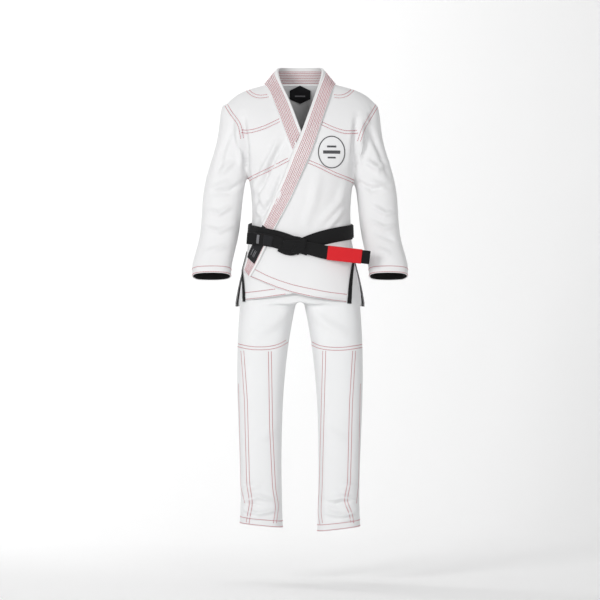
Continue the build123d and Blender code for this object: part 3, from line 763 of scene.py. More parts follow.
# Neck-side and panel-side edges of both lapels as front-view paths in mm, from the lower end upwards
LEFT_NEAR = [(-184, 819), (-123, 936), (-82, 1025), (-53, 1091), (-23, 1173), (3, 1232), (34, 1318),
             (57, 1384)]
LEFT_AWAY = [(-153, 790), (-129, 830), (-78, 936), (-29, 1025), (0, 1091), (37, 1175), (66, 1262),
             (101, 1368)]
RIGHT_NEAR = [(26, 1180), (3, 1242), (-30, 1330), (-55, 1384)]
RIGHT_AWAY = [(-10, 1140), (-23, 1173), (-60, 1275), (-96, 1368)]


def even_line(path, count):
    """A smooth line through path points, with evenly spaced points."""
    path = path_points(np.array(path, float) * MM, 2 * MM)
    travelled = np.r_[0, np.cumsum(np.linalg.norm(np.diff(path, axis=0), axis=1))]
    even = np.linspace(0, travelled[-1], count)
    return np.column_stack([np.interp(even, travelled, path[:, i]) for i in (0, 1)])


# Collar edges round the wearer's left of the neck, in mm: (x, y, z) from the front to the back centre
COLLAR_TOP = [(64, -30, 1408), (68, -12, 1428), (66, 14, 1438), (55, 48, 1442), (30, 68, 1443), (0, 74, 1443)]
COLLAR_FOOT = [(106, -22, 1380), (110, -4, 1384), (105, 22, 1386), (82, 50, 1388), (46, 64, 1390),
               (0, 68, 1390)]
BACK_NECK_Z = 1.389
LAPEL_THICK = 6 * MM
TUCK_DEPTH = 13 * MM       # how far the inner lapel sinks behind the outer one
NEAR_TUCK_Z, NEAR_TUCK_LONG = 1.256, 0.035
AWAY_TUCK_Z, AWAY_TUCK_LONG = 1.192, 0.030


def half_lapel(near, away, sign, tree, lift):
    """Both edges of one lapel and its half of the collar, from the lower end to the back of the neck."""
    near, away = even_line(near, 70), even_line(away, 70)
    near3, _ = cast(near, tree)
    away3, _ = cast(away, tree)
    rest = [np.array(c, float) * MM * (sign, 1, 1) for c in (COLLAR_TOP, COLLAR_FOOT)]
    near3[:, 1] -= lift
    away3[:, 1] -= lift
    if sign < 0:
        near3[:, 1] += TUCK_DEPTH * np.clip((NEAR_TUCK_Z - near3[:, 2]) / NEAR_TUCK_LONG, 0, 1)
        away3[:, 1] += TUCK_DEPTH * np.clip((AWAY_TUCK_Z - away3[:, 2]) / AWAY_TUCK_LONG, 0, 1)
    near3[:, 1], away3[:, 1] = ease(near3[:, 1], 5), ease(away3[:, 1], 5)
    return np.vstack([near3, rest[0]]), np.vstack([away3, rest[1]])


def join_lapels():
    """Near and away edges of the whole band, from the outer hem round the neck to the inner crossing."""
    near_l, away_l = half_lapel(LEFT_NEAR, LEFT_AWAY, 1, skin_tree, 3.6 * MM)
    near_r, away_r = half_lapel(RIGHT_NEAR, RIGHT_AWAY, -1, skin_tree, 0.5 * MM)
    near = np.vstack([near_l, near_r[::-1][1:]])
    away = np.vstack([away_l, away_r[::-1][1:]])
    count = 420
    middle = (near + away) / 2
    lengths = np.r_[0, np.cumsum(np.linalg.norm(np.diff(middle, axis=0), axis=1))]
    even = np.linspace(0, lengths[-1], count)
    near, away = [np.column_stack([np.interp(even, lengths, edge[:, i]) for i in range(3)])
                  for edge in (near, away)]
    return ease(near, 40), ease(away, 40)


lapel_near, lapel_away = join_lapels()
lapel_normals = unit(np.cross(np.gradient((lapel_near + lapel_away) / 2, axis=0), lapel_away - lapel_near))
if lapel_normals[10, 1] > 0:
    lapel_normals = -lapel_normals
lapel_normals = unit(ease(lapel_normals, 10))
lapel_middle = (lapel_near + lapel_away) / 2
lapel_band = ribbon("lapel_and_collar", lapel_near, lapel_away, lapel_normals, LAPEL_THICK, lapel_cloth,
                    rows=7, columns=43, groove=0.22)


def band_run(share, height=1.0, first=0, last=None):
    """A line along the lapel band at a share of its width."""
    spots = lapel_near * (1 - share) + lapel_away * share + lapel_normals * LAPEL_THICK * height
    normals = lapel_normals if height > 0 else -lapel_normals
    return spots[first:last], normals[first:last]


QUILT_ROWS = np.linspace(0.24, 0.92, 8)
stitches("lapel_quilting", [band_run(s, 0.98) for s in QUILT_ROWS], thread, 4.6 * MM, 0.8 * MM, 2.0 * MM)
in_collar = np.nonzero(lapel_middle[:, 2] > 1.375)[0]
stitches("collar_quilting", [band_run(s, -0.02, in_collar[0], in_collar[-1]) for s in QUILT_ROWS], thread,
         4.6 * MM, 0.8 * MM, 2.0 * MM)

# ---------------------------------------------------------------------------------------------------------
# Opening, thickness and pieces of the jacket


V_FLOOR_Z = 1.19
V_BACK_Y = 12 * MM
COLLAR_RING_Z = 1.372
COLLAR_RING_X, COLLAR_RING_Y = 0.098, 0.062


def open_neck():
    """Remove the shell inside the V of the lapels and inside the collar."""
    points = get_points(shell)
    front = lapel_middle[:, 1] < 5 * MM
    left = front & (np.arange(len(lapel_middle)) < len(lapel_middle) / 2)
    right = front & ~left
    z = points[:, 2]
    order_l, order_r = np.argsort(lapel_middle[left][:, 2]), np.argsort(lapel_middle[right][:, 2])
    high_x = np.interp(z, lapel_middle[left][order_l, 2], lapel_middle[left][order_l, 0])
    low_x = np.interp(z, lapel_middle[right][order_r, 2], lapel_middle[right][order_r, 0])
    in_v = (points[:, 1] < V_BACK_Y) & (z > V_FLOOR_Z) & (points[:, 0] < high_x) & (points[:, 0] > low_x)
    ring_share = (points[:, 0] / COLLAR_RING_X) ** 2 + (points[:, 1] / COLLAR_RING_Y) ** 2
    drop(shell, in_v | ((z > COLLAR_RING_Z) & (ring_share < 1)))


CUFF_TILT = math.radians(12)
cuff_back = np.array([0, -math.sin(CUFF_TILT), -math.cos(CUFF_TILT)])
cuff_end_z = cuff_z - 6 * MM
cuff_at = np.array([0, joint_at["left_elbow"][1] - 20 * MM, cuff_end_z])
open_neck()
trim(shell, np.array([0, 0, BACK_NECK_Z]), np.array([0, 0, 1.0]))
trim(shell, cuff_at, cuff_back)
points = get_points(shell)
drop(shell, (np.abs(points[:, 0]) < 0.2) & (points[:, 2] < belt_middle(points[:, 0], points[:, 1]) - 14 * MM)
     & (np.abs(points[:, 0]) < np.interp(points[:, 2], LEVELS, half_width) + 14 * MM))
drop_crumbs(shell)
thicken(shell, 2.2 * MM)

FOLD_ACROSS = np.array([0.6, -0.8])
FOLD_LONG = 85 * MM
armpit = np.array([armpit_x, armpit_z])
elbow_half = 50 * MM
elbow_z = joint_at["left_elbow"][2]
arm_split_z = elbow_z + elbow_half + 4 * MM


def past_armpit(centres, sign):
    """How far face centres lie beyond the slanting fold line at the armpit."""
    return (np.column_stack([sign * centres[:, 0], centres[:, 2]]) - armpit) @ FOLD_ACROSS


def sleeve_part(sign, lower):
    """Picks the faces of one sleeve above or below the elbow zone."""
    def chosen(c):
        outside = (sign * c[:, 0] > armpit_x + 0.5 * MM) & (past_armpit(c, sign) > 0)
        return outside & ((c[:, 2] < arm_split_z) == lower)
    return chosen


JACKET_PARTS = [(f"{side}_sleeve_{'lower' if low else 'upper'}", sleeve_part(sign, low))
                for side, sign in SIDES for low in (True, False)]
JACKET_PARTS += [("jacket_upper", lambda c: np.ones(len(c), bool))]
jacket_pieces = split(shell, JACKET_PARTS, jacket_cloth)
for flap in (outer_flap, inner_flap, rear_flap):
    thicken(flap, 2.4 * MM)
    jacket_pieces[flap.name] = flap
whole_tree = surface_of(*jacket_pieces.values())

# ---------------------------------------------------------------------------------------------------------
# Belt


WAIST_HALF_X, WAIST_HALF_Y = 0.165, 0.12
BELT_REACH = 0.19          # the belt never stands farther out than this
OUTSIDE = 0.6              # rays start this far out


def belt_ring(lift, shift):
    """Top and bottom edges of one turn of the belt, hugging the jacket."""
    turns = np.linspace(-math.pi / 2, 1.5 * math.pi, 241)[:-1]
    edges = []
    guess = np.column_stack([WAIST_HALF_X * np.cos(turns), mid_y + WAIST_HALF_Y * np.sin(turns)])
    middle_z = belt_middle(guess[:, 0], guess[:, 1]) + shift
    trunk = [piece for name, piece in jacket_pieces.items() if "sleeve" not in name]
    tree = surface_of(*trunk, lapel_band)
    for part in (1, -1):
        radius = []
        for turn, z in zip(turns, middle_z):
            ray = Vector((-math.cos(turn), -math.sin(turn), 0))
            near = []
            for dz in (0, part * BELT_WIDE / 4, part * BELT_WIDE / 2):
                start = Vector((0, mid_y, z + dz)) - ray * OUTSIDE
                start.z = z + dz
                hit = tree.ray_cast(start, ray)[0]
                near.append(math.hypot(hit.x, hit.y - mid_y) if hit else 0)
            radius.append(min(max(near), BELT_REACH))
        radius = np.array(radius)
        smooth = ease(radius, 8, closed=True)
        radius = ease(np.maximum(radius, smooth), 5, closed=True) + lift
        edges.append(np.column_stack([radius * np.cos(turns), mid_y + radius * np.sin(turns),
                                      middle_z + part * BELT_WIDE / 2]))
    normals = np.column_stack([np.cos(turns), np.sin(turns), np.zeros(len(turns))])
    return edges[0], edges[1], normals


BELT_THICK = 3.2 * MM
under = belt_ring(0.5 * MM, -5 * MM)
over = belt_ring(0.5 * MM + BELT_THICK, 0)
ribbon("belt_under_turn", *under, BELT_THICK, belt_cloth, rows=10, closed=True, columns=41)
ribbon("belt_over_turn", *over, BELT_THICK, belt_cloth, rows=10, closed=True, columns=41)
knot_y = (over[0][0, 1] + over[1][0, 1]) / 2


def strap(name, path, widths, thick, material, tilt=None, rows=10, columns=41):
    """A free strap: path points (x, y, z) and widths in mm, its width upright across the path."""
    fine = path_points(np.column_stack([path, widths]), 3)
    line, wide = fine[:, :3] * MM, fine[:, 3:] * MM
    run = unit(np.gradient(line, axis=0))
    upright = np.array(tilt if tilt is not None else (0, 0, 1.0))
    across = unit(upright - (run @ upright)[:, None] * run)
    normals = unit(np.cross(run, across))
    if normals[:, 1].mean() > 0:
        normals = -normals
    base = line - normals * thick / 2
    return ribbon(name, base + across * wide / 2, base - across * wide / 2, normals, thick, material,
                  rows=rows, columns=columns)


# The knot and tails, front view in mm; y is measured out from the belt's front
out = knot_y / MM


def at_knot(points):
    """Points (x, z, how far ahead) in mm as (x, y, z) at the front of the belt."""
    return [(x, out - ahead, z) for x, z, ahead in points]


strap("knot_upper_fold", at_knot([(-44, 893, 2), (-30, 897, 6), (-14, 896, 9), (4, 893, 6), (12, 889, 0)]),
      [34, 38, 38, 36, 30], 4 * MM, belt_cloth)
strap("knot_lower_fold", at_knot([(-66, 879, 1), (-46, 873, 6), (-26, 873, 9), (-6, 880, 7), (8, 884, 1)]),
      [22, 30, 38, 36, 26], 4 * MM, belt_cloth)
strap("knot_wrap", at_knot([(-52, 890, 6), (-34, 888, 12), (-14, 886, 16), (6, 880, 14), (26, 873, 8)]),
      [26, 28, 34, 38, 38], 5 * MM, belt_cloth, tilt=(0.25, 0, 1))
strap("knot_cross", at_knot([(8, 906, 8), (4, 896, 15), (0, 884, 18), (-8, 872, 15), (-16, 862, 8)]),
      [26, 30, 32, 30, 26], 5 * MM, belt_cloth, tilt=(1, 0, 0.3))


def rank_point(x, ahead=0.0):
    """A point on the middle line of the tail with the bar, in mm."""
    z = np.interp(x, [0, 30, 60, 84, 190, 214], [884, 876, 869, 864, 852, 849])
    return x, out - 8 - 4 * math.sin(x / 70) - ahead, float(z)


RANK_TAIL = [rank_point(x) for x in (4, 30, 60, 84, 120, 155, 190, 214)]
strap("rank_tail", RANK_TAIL, [34, 38, 41, 42, 42, 42, 41.5, 41], 5 * MM, belt_cloth)
RANK_BAR = [rank_point(x, 0.3) for x in (84, 110, 137, 164, 189)]
strap("rank_bar", RANK_BAR, [44.5] * len(RANK_BAR), 8 * MM, bar_cloth, rows=0)


def on_belt(path, lift):
    """A front-view path in mm carried to the front of the belt."""
    found = []
    for x, z in path:
        hit = belt_tree.ray_cast(Vector((x * MM, -1, z * MM)), Vector((0, 1, 0)))[0]
        depth = hit.y / MM if hit else found[-1][1] + 6
        found.append((x, min(depth, found[-1][1] + 12) if found else depth, z))
    return [(x, y - lift, z) for x, y, z in found]


belt_tree = surface_of(bpy.data.objects["belt_over_turn"])
LABEL_TAIL = [(-28, 882), (-50, 888), (-80, 898), (-105, 903), (-130, 906), (-150, 908), (-163, 909)]
label_tail_path = on_belt(LABEL_TAIL, 3.4)
strap("label_tail", label_tail_path, [30, 34, 36, 37, 37, 36.5, 36], 4 * MM, belt_cloth)
label_spots = path_points(label_tail_path, 1)


def tail_label(name, x_from, x_to, high, material, lift):
    """A flat label on the label tail, between two places along x in mm."""
    chosen = label_spots[(label_spots[:, 0] >= x_from) & (label_spots[:, 0] <= x_to)]
    chosen = chosen - np.array([0, lift, 0])
    strap(name, chosen, [high] * len(chosen), 1.2 * MM, material, rows=0, columns=9)


tail_label("tail_label_large", -113, -84, 31, label_cloth, 3.0)
tail_label("tail_label_small", -134, -125, 27, label_mark, 3.0)

# ---------------------------------------------------------------------------------------------------------
# Trousers


def trouser_tubes():
    """Rings round the seat and round each leg."""
    seat_low = corner("trouser_seat")[2]
    seat_heights = np.r_[seat_low - 4 * MM, np.linspace(seat_low, waist_z + 20 * MM, 40)]
    seat = tube(["trouser_seat", "trouser_waistband"], seat_heights, lambda z: (0, mid_y))
    legs = []
    for side, _ in SIDES:
        names = [f"{side}_{n}" for n in ("hip_fold", "thigh", "knee_fold", "shin")]
        hip, knee = joint_at[f"{side}_hip"], joint_at[f"{side}_knee"]
        heights = np.r_[-20 * MM, np.linspace(2 * MM, seat_low + 20 * MM, 110)]

        def middle(z, h=hip, k=knee):
            return (np.interp(z, [0, k[2], h[2]], [k[0], k[0], h[0]]),
                    np.interp(z, [0, k[2]], [k[1] + 2 * MM, k[1]]))

        legs.append(tube(names, heights, middle))
    return [seat, *legs]


TROUSER_FOLDS = mirror_folds([
    ([(-180, 62), (-130, 48), (-70, 66)], -1, 10, 3.6),
    ([(-176, 96), (-130, 112), (-84, 100)], -1, 11, 3.2),
    ([(-170, 34), (-110, 30)], -1, 8, 2.2),
    ([(-180, 140), (-120, 150)], -1, 14, 2.2),
    ([(-178, 70), (-120, 56), (-64, 70)], 1, 11, 3.4),
    ([(-176, 120), (-120, 106), (-64, 122)], 1, 12, 3.0),
    ([(-180, 460), (-120, 446), (-64, 462)], 1, 13, 2.6),
    ([(-180, 420), (-120, 404), (-64, 420)], 1, 13, 2.4),
    ([(-30, 690), (-90, 640), (-150, 610)], -1, 20, 2.4),
    ([(-30, 690), (-80, 655)], 1, 18, 3.0),
    ([(-70, 330), (-110, 300), (-150, 300)], -1, 20, 1.6),
]) + [
    ([(70, 100), (110, 86), (165, 104)], -1, 9, -2.6),
    ([(-160, 84), (-120, 78)], -1, 9, -2.4),
]

# Each trouser hem hangs at its own slant: height in m at the leg's middle, and rise towards +X
LEG_MIDDLE_X = abs(joint_at["left_knee"][0])
HEM_ZONE = 110 * MM
HEM_SLANT = {-1: (20 * MM, -0.10), 1: (9 * MM, 0.12)}


def hem_rise(x):
    """How far above the floor the trouser hem hangs, by place across the front."""
    rises = [HEM_SLANT[sign][0] + HEM_SLANT[sign][1] * (x - sign * LEG_MIDDLE_X) for sign in (-1, 1)]
    return np.maximum(np.where(x < 0, *rises), 0)


CROTCH_Z, CROTCH_WIDE, CROTCH_TALL, CROTCH_RISE = 0.690, 20 * MM, 42 * MM, 7 * MM
trousers = fuse("trousers", trouser_tubes(), voxel, 8)
crease(trousers, TROUSER_FOLDS)
points = get_points(trousers)
near_crotch = np.exp(-(points[:, 0] / CROTCH_WIDE) ** 2 - ((points[:, 2] - CROTCH_Z) / CROTCH_TALL) ** 2)
points[:, 2] += CROTCH_RISE * near_crotch
set_points(trousers, points)
trim(trousers, (0, 0, waist_z - 1 * MM), (0, 0, 1))
trim(trousers, (0, 0, 1.5 * MM), (0, 0, -1))
points = get_points(trousers)
points[:, 2] += hem_rise(points[:, 0]) * np.clip(1 - points[:, 2] / HEM_ZONE, 0, 1)
set_points(trousers, points)
drop_crumbs(trousers)
thicken(trousers, 2.0 * MM)
trouser_tree = surface_of(trousers)
hip_high_z = corner("left_hip_fold", True)[2]
hip_low_z = corner("left_hip_fold")[2]
knee_high_z = corner("left_knee_fold", True)[2]
knee_low_z = corner("left_knee_fold")[2]
leg_split_z = (hip_low_z + knee_high_z) / 2


def leg_part(sign, lower):
    """Picks the faces of one leg above or below its split."""
    def chosen(c):
        return (sign * c[:, 0] > 0) & (c[:, 2] < (leg_split_z if lower else hip_high_z))
    return chosen


TROUSER_PARTS = [(f"{side}_leg_{'lower' if low else 'upper'}", leg_part(sign, low))
                 for side, sign in SIDES for low in (True, False)]
TROUSER_PARTS += [("trouser_top", lambda c: np.ones(len(c), bool))]
trouser_pieces = split(trousers, TROUSER_PARTS, trouser_cloth)

# ---------------------------------------------------------------------------------------------------------
# Seams, hems, tapes and labels of the jacket


def seam_runs(paths, tree, facing, lift=0.2 * MM, double=True):
    """Stitch runs for front-view paths in mm, single or double."""
    runs = []
    for path in paths:
        path = path_points(np.array(path, float) * MM, 6 * MM)
        for line in (twin(path) if double else [path]):
            runs.append(lay(line, tree, facing, lift=lift))
    return runs


def both(paths):
    """Paths together with their mirror images."""
    return paths + [[(-x, z) for x, z in path] for path in paths]


stitches("jacket_front_seams", seam_runs(FRONT_SEAMS, whole_tree, -1), thread)
stitches("jacket_back_seams", seam_runs(both(BACK_SEAMS), whole_tree, 1), thread)
OUTER_STITCH = [(x, z + 25) for x, z in OUTER_HEM[2:-1]]
HEM_STITCHES = {
    "outer_hem_stitch": (outer_flap, -1, [(-142, 815), (-110, 798), *OUTER_STITCH]),
    "inner_hem_stitch": (inner_flap, -1, [(-172, 741), (-120, 747), (-74, 753)]),
    "outer_hem_edge_stitch": (outer_flap, -1, [(x, z + 3) for x, z in OUTER_HEM[1:-1]]),
    "inner_hem_edge_stitch": (inner_flap, -1, [(-170, 721), (-110, 728), (-40, 738)]),
    "back_hem_stitch": (rear_flap, 1, [(x, 733 + BACK_HEM_RISE / MM * (1 - (x / 188) ** 2))
                                       for x in range(-188, 189, 12)]),
}
for name, (flap, facing, path) in HEM_STITCHES.items():
    stitches(name, seam_runs([path], surface_of(flap), facing, double=False), thread)


def front_tape(name, grid, wide):
    """Black tape along a skirt's side edge; the grid's rows run from hem to belt, the edge comes last."""
    rows = grid[grid[:, -1, 2] < vent_top_z]
    edge, inside = [], []
    for row in rows:
        back = row[::-1]
        travelled = np.r_[0, np.cumsum(np.linalg.norm(np.diff(back, axis=0), axis=1))]
        edge.append(row[-1])
        inside.append([np.interp(wide, travelled, back[:, i]) for i in range(3)])
    edge, inside = np.array(edge), np.array(inside)
    normals = unit(np.cross(np.gradient(edge, axis=0), inside - edge))
    normals[normals[:, 1] > 0] *= -1
    edge[0, 2] -= 1 * MM
    inside[0, 2] -= 1 * MM
    lift = normals * 2.6 * MM
    ribbon(name, edge + lift, inside + lift, normals, 1.4 * MM, tape_cloth, columns=9)


front_tape("left_front_vent_tape_cloth", outer_grid, 15 * MM)
front_tape("right_front_vent_tape_cloth", inner_grid[:, ::-1], 13 * MM)


def back_tapes():
    """Black tape on both faces of the back skirt at each vent."""
    for side, sign in SIDES:
        a, b = [], []
        for z in np.linspace(jacket_hem_z - 1 * MM, vent_top_z - 4 * MM, 28):
            for into, y in ((a, VENT_BACK_Y), (b, VENT_BACK_Y + 13 * MM)):
                wide = np.interp(z, LEVELS, half_width)
                deep = np.interp(z, LEVELS, back_y) - mid_y
                share = 1 - (y / deep) ** SQUARE
                into.append((sign * (wide * share ** (1 / SQUARE) + 1.2 * MM), mid_y + y, z))
        normals = np.tile((sign * 1.0, 0.05, 0), (len(a), 1))
        ribbon(f"{side}_back_vent_tape_cloth", a, b, normals, 1.6 * MM, tape_cloth, columns=9)
        inside = np.array(a) - (sign * 3.6 * MM, 0, 0), np.array(b) - (sign * 3.6 * MM, 0, 0)
        ribbon(f"{side}_back_vent_tape_inside", *inside, -normals, 1.4 * MM, tape_cloth, columns=9)


back_tapes()


def crest():
    """Thin embroidered ring with three plain bars."""
    centre, half = np.array([97, 1173]) * MM, np.array([42, 50]) * MM
    turn = np.linspace(0, 2 * math.pi, 97)[:-1]
    ring = np.column_stack([np.cos(turn), np.sin(turn)])
    a, n = cast(centre + ring * half, whole_tree)
    b, _ = cast(centre + ring * (half - 3.2 * MM), whole_tree)
    lift = n * 0.3 * MM
    ribbon("chest_crest_ring", a + lift, b + lift, n, 1.3 * MM, grey_thread, closed=True, columns=7)
    for i, (drop_z, reach_x, high) in enumerate(((17, 14, 6), (0, 26, 10), (-17, 12, 5))):
        xs = np.linspace(-reach_x, reach_x, 15)
        top = centre + np.column_stack([xs, np.full(15, drop_z + high / 2)]) * MM
        low = centre + np.column_stack([xs, np.full(15, drop_z - high / 2)]) * MM
        a, n = cast(top, whole_tree)
        b, _ = cast(low, whole_tree)
        lift = n * 0.3 * MM
        ribbon(f"chest_crest_bar_{i + 1}", a + lift, b + lift, n, 1.2 * MM, grey_thread, columns=7)


crest()


def neck_hexagon():
    """Plain hexagonal label on the inside of the back, below the collar."""
    outline = ((1331, 0.5), (1346, 32), (1372, 32), (1387, 0.5))
    levels = np.linspace(1331, 1387, 25)
    halves = np.interp(levels, [z for z, _ in outline], [half for _, half in outline])
    rows = [np.column_stack([share * halves, levels]) * MM for share in (-1, 1)]
    a, b = [cast(row, inner_back_tree)[0] for row in rows]
    below = levels < 1362
    for row in (a, b):
        row[:, 1] = np.polyval(np.polyfit(row[below, 2], row[below, 1], 1), row[:, 2]) - 5.5 * MM
    wall = jacket_pieces["jacket_upper"]
    points = get_points(wall)
    label_y = np.interp(points[:, 2], a[:, 2], (a[:, 1] + b[:, 1]) / 2) + 1 * MM
    poking = (np.abs(points[:, 0]) < 45 * MM) & (points[:, 2] > a[0, 2]) & (points[:, 1] > 30 * MM)
    poking &= points[:, 1] < label_y
    points[poking, 1] = label_y[poking]
    set_points(wall, points)
    n = np.tile((0, -1.0, 0.0), (len(levels), 1))
    ribbon("neck_label_cloth", a + n * 0.5 * MM, b + n * 0.5 * MM, n, 1.5 * MM, label_cloth, columns=21)
    bar = slice(9, 12)
    middle = (a[bar] + b[bar]) / 2
    left, right = [middle + (sign * 16 * MM, -2.2 * MM, 0) for sign in (-1, 1)]
    ribbon("neck_label_bar", left, right, n[bar], 0.6 * MM, label_mark, columns=7)


inner_back_tree = surface_of(jacket_pieces["jacket_upper"])
neck_hexagon()


def lapel_patch():
    """Long plain label on the lapel; the belt crosses its upper part."""
    on_low_half = np.arange(len(lapel_middle)) < len(lapel_middle) / 2
    chosen = on_low_half & (lapel_middle[:, 2] > 0.838) & (lapel_middle[:, 2] < 0.940)
    lift = lapel_normals[chosen] * (LAPEL_THICK - 0.2 * MM)
    a = lapel_near[chosen] * 0.90 + lapel_away[chosen] * 0.10 + lift
    b = lapel_near[chosen] * 0.12 + lapel_away[chosen] * 0.88 + lift
    ribbon("lapel_patch", a, b, lapel_normals[chosen], 1.4 * MM, label_cloth, columns=15)
    line = slice(5, 13)
    up = lapel_normals[chosen][line]
    for i, shares in enumerate(((0.30, 0.36), (0.52, 0.58), (0.64, 0.70))):
        edges = [a[line] * (1 - share) + b[line] * share + up * 1.3 * MM for share in shares]
        ribbon(f"lapel_patch_mark_{i + 1}", *edges, up, 0.5 * MM, label_mark, columns=7)


lapel_patch()


LIMB_REACH = 0.13          # rays start this far from a limb's middle


def ring_on(tree, centre, axis, inside, count=72, lift=0.2 * MM):
    """Points and outward normals round a tube, on its outer or inner surface."""
    axis = unit(np.array(axis, float))
    one = unit(np.cross(axis, (0, 1, 0)))
    two = np.cross(axis, one)
    spots, normals = [], []
    for turn in np.linspace(0, 2 * math.pi, count, endpoint=False):
        ray = math.cos(turn) * one + math.sin(turn) * two
        start = np.array(centre) if inside else np.array(centre) + ray * LIMB_REACH
        hit = tree.ray_cast(Vector(start), Vector(ray if inside else -ray))[0]
        if hit is None:
            continue
        spots.append(np.array(hit) + ray * (-lift if inside else lift))
        normals.append(-ray if inside else ray)
    return np.array(spots), np.array(normals)


def close_run(spots, normals):
    """A run whose end meets its start."""
    return np.vstack([spots, spots[:1]]), np.vstack([normals, normals[:1]])


def cuffs():
    """Hem stitches round each cuff and the black tape inside it."""
    for side, sign in SIDES:
        middle = sleeve_middle(side, sign)
        tree = surface_of(jacket_pieces[f"{side}_sleeve_lower"])

        def centre(height):
            x, y = middle(cuff_end_z + height)
            z = cuff_end_z + height - (y - cuff_at[1]) * math.tan(CUFF_TILT)
            return np.array([x, y, z])

        runs = [close_run(*ring_on(tree, centre(h * MM), cuff_back, False, 96)) for h in (21, 3)]
        rode.append((stitches(f"{side}_cuff_stitch", runs, thread), f"{side}_forearm"))
        a, n = ring_on(tree, centre(1.5 * MM), cuff_back, True)
        b, _ = ring_on(tree, centre(26 * MM), cuff_back, True)
        tape = ribbon(f"{side}_cuff_tape", a, b, n, 1.4 * MM, tape_cloth, closed=True, columns=9)
        rode.append((tape, f"{side}_forearm"))


rode = []
cuffs()

# ---------------------------------------------------------------------------------------------------------
# Seams, waistband and cord of the trousers

LEG_SEAMS = {
    -1: [[(-196, 580), (-150, 570), (-100, 570), (-65, 577), (-40, 592)],
         [(-178, 566), (-167, 414), (-160, 150), (-150, 92), (-156, 65), (-162, 28)],
         [(-93, 568), (-89, 320), (-80, 135), (-70, 82), (-78, 28)]],
    1: [[(28, 590), (52, 575), (87, 569), (131, 568), (193, 577)],
        [(75, 566), (71, 414), (64, 135), (60, 60), (66, 26)],
        [(167, 566), (157, 400), (151, 150), (139, 98), (158, 60), (161, 28)]],
}
LEG_SIDES = {
    -1: [(-190, 460), (-186, 300), (-184, 143), (-170, 92)],
    1: [(186, 460), (183, 300), (181, 150), (174, 90)],
}
LEG_BACK = [[(120, 640), (122, 400), (120, 26)]]


def parted(runs, z):
    """Runs cut at a height: those above and those below."""
    above, below = [], []
    for spots, normals in runs:
        high = spots[:, 2] > z
        for keep, into in ((high, above), (~high, below)):
            if keep.sum() > 2:
                into.append((spots[keep], normals[keep]))
    return above, below


leg_stitches = []
for side, sign in SIDES:
    runs = seam_runs(LEG_SEAMS[sign], trouser_tree, -1)
    runs += seam_runs([LEG_SIDES[sign]], trouser_tree, -1, double=False)
    runs += seam_runs([[(sign * x, z) for x, z in path] for path in LEG_BACK], trouser_tree, 1)
    knee = joint_at[f"{side}_knee"]
    rise, slope = HEM_SLANT[sign]
    for above_hem in (22 * MM, 4 * MM):
        level = rise + above_hem
        runs.append(close_run(*ring_on(trouser_tree, (knee[0], mid_y, level), (-slope, 0, 1), False, 96)))
    above, below = parted(runs, leg_split_z)
    leg_stitches.append((stitches(f"{side}_thigh_stitches", above, thread), side, False))
    leg_stitches.append((stitches(f"{side}_shin_stitches", below, thread), side, True))


def waist_details():
    """Waistband stitches, cord loops, and the cord with its bow."""
    band_low = waist_z - 40 * MM
    runs = [close_run(*ring_on(trouser_tree, (0, mid_y, z), (0, 0, 1), False, 140))
            for z in (band_low, waist_z - 4 * MM)]
    rode.append((stitches("waistband_stitches", runs, thread), "trouser_body"))
    centre_z = waist_z - 21 * MM
    low, _ = ring_on(trouser_tree, (0, mid_y, centre_z), (0, 0, 1), False, 140, lift=0)
    front = low[np.abs(low[:, 0]) < 40 * MM]
    front_y = front[:, 1].min() / MM
    loops = 6
    for i in range(loops):
        turn = 2 * math.pi * i / loops
        ray = np.array([math.cos(turn), math.sin(turn), 0])
        side_ray = np.array([-ray[1], ray[0], 0])
        edge = []
        for dz in np.linspace(-17, 17, 9):
            start = np.array([0, mid_y, centre_z + dz * MM]) + ray * 0.3
            hit = trouser_tree.ray_cast(Vector(start), Vector(-ray))[0]
            bulge = 2.4 * MM * math.cos(dz / 17 * math.pi / 2)
            edge.append(np.array(hit) + ray * (0.2 * MM + bulge))
        edge = np.array(edge)
        rode.append((ribbon(f"cord_loop_{i + 1}", edge - side_ray * 4.5 * MM, edge + side_ray * 4.5 * MM,
                            np.tile(ray, (9, 1)), 1.4 * MM, trouser_cloth, columns=9), "trouser_body"))
    z = centre_z / MM
    y = front_y - 4
    paths = {
        "cord_end_left": [(2, y, z - 2), (14, y - 1, z - 40), (18, y - 3, z - 90), (24, y - 4, z - 140)],
        "cord_end_right": [(-2, y, z - 2), (-12, y - 1, z - 44), (-20, y - 3, z - 92), (-18, y - 4, z - 128)],
        "cord_knot": [(-9, y - 3, z + 1), (0, y - 5, z), (9, y - 3, z - 2)],
    }
    bow = [(2, y + 1, z), (24, y - 1, z + 9), (44, y + 1, z + 2), (30, y - 1, z - 12), (3, y, z - 2)]
    from_eyelet = [(40, y + 6, z), (20, y + 1, z + 1), (4, y, z)]
    for side, sign in SIDES:
        paths[f"cord_bow_{side}"] = [(sign * px, py, pz) for px, py, pz in bow]
        paths[f"cord_from_{side}_eyelet"] = [(sign * px, py, pz) for px, py, pz in from_eyelet]
    for name, path in paths.items():
        item = strap(name, path, [7.0] * len(path), 2.2 * MM, cord_cloth, tilt=(0.3, 0, 1), rows=3, columns=9)
        rode.append((item, "trouser_body"))


waist_details()

# ---------------------------------------------------------------------------------------------------------
# Stage


def soft_light(name, at, size, power, target=(0, 0, 0.8)):
    """A square area light aimed at a point."""
    data = bpy.data.lights.new(name, "AREA")
    data.energy, data.size = power, size
    item = bpy.data.objects.new(name, data)
    item.location = at
    item.rotation_euler = (Vector(target) - Vector(at)).to_track_quat("-Z", "Y").to_euler()
    bpy.context.scene.collection.objects.link(item)
    return item


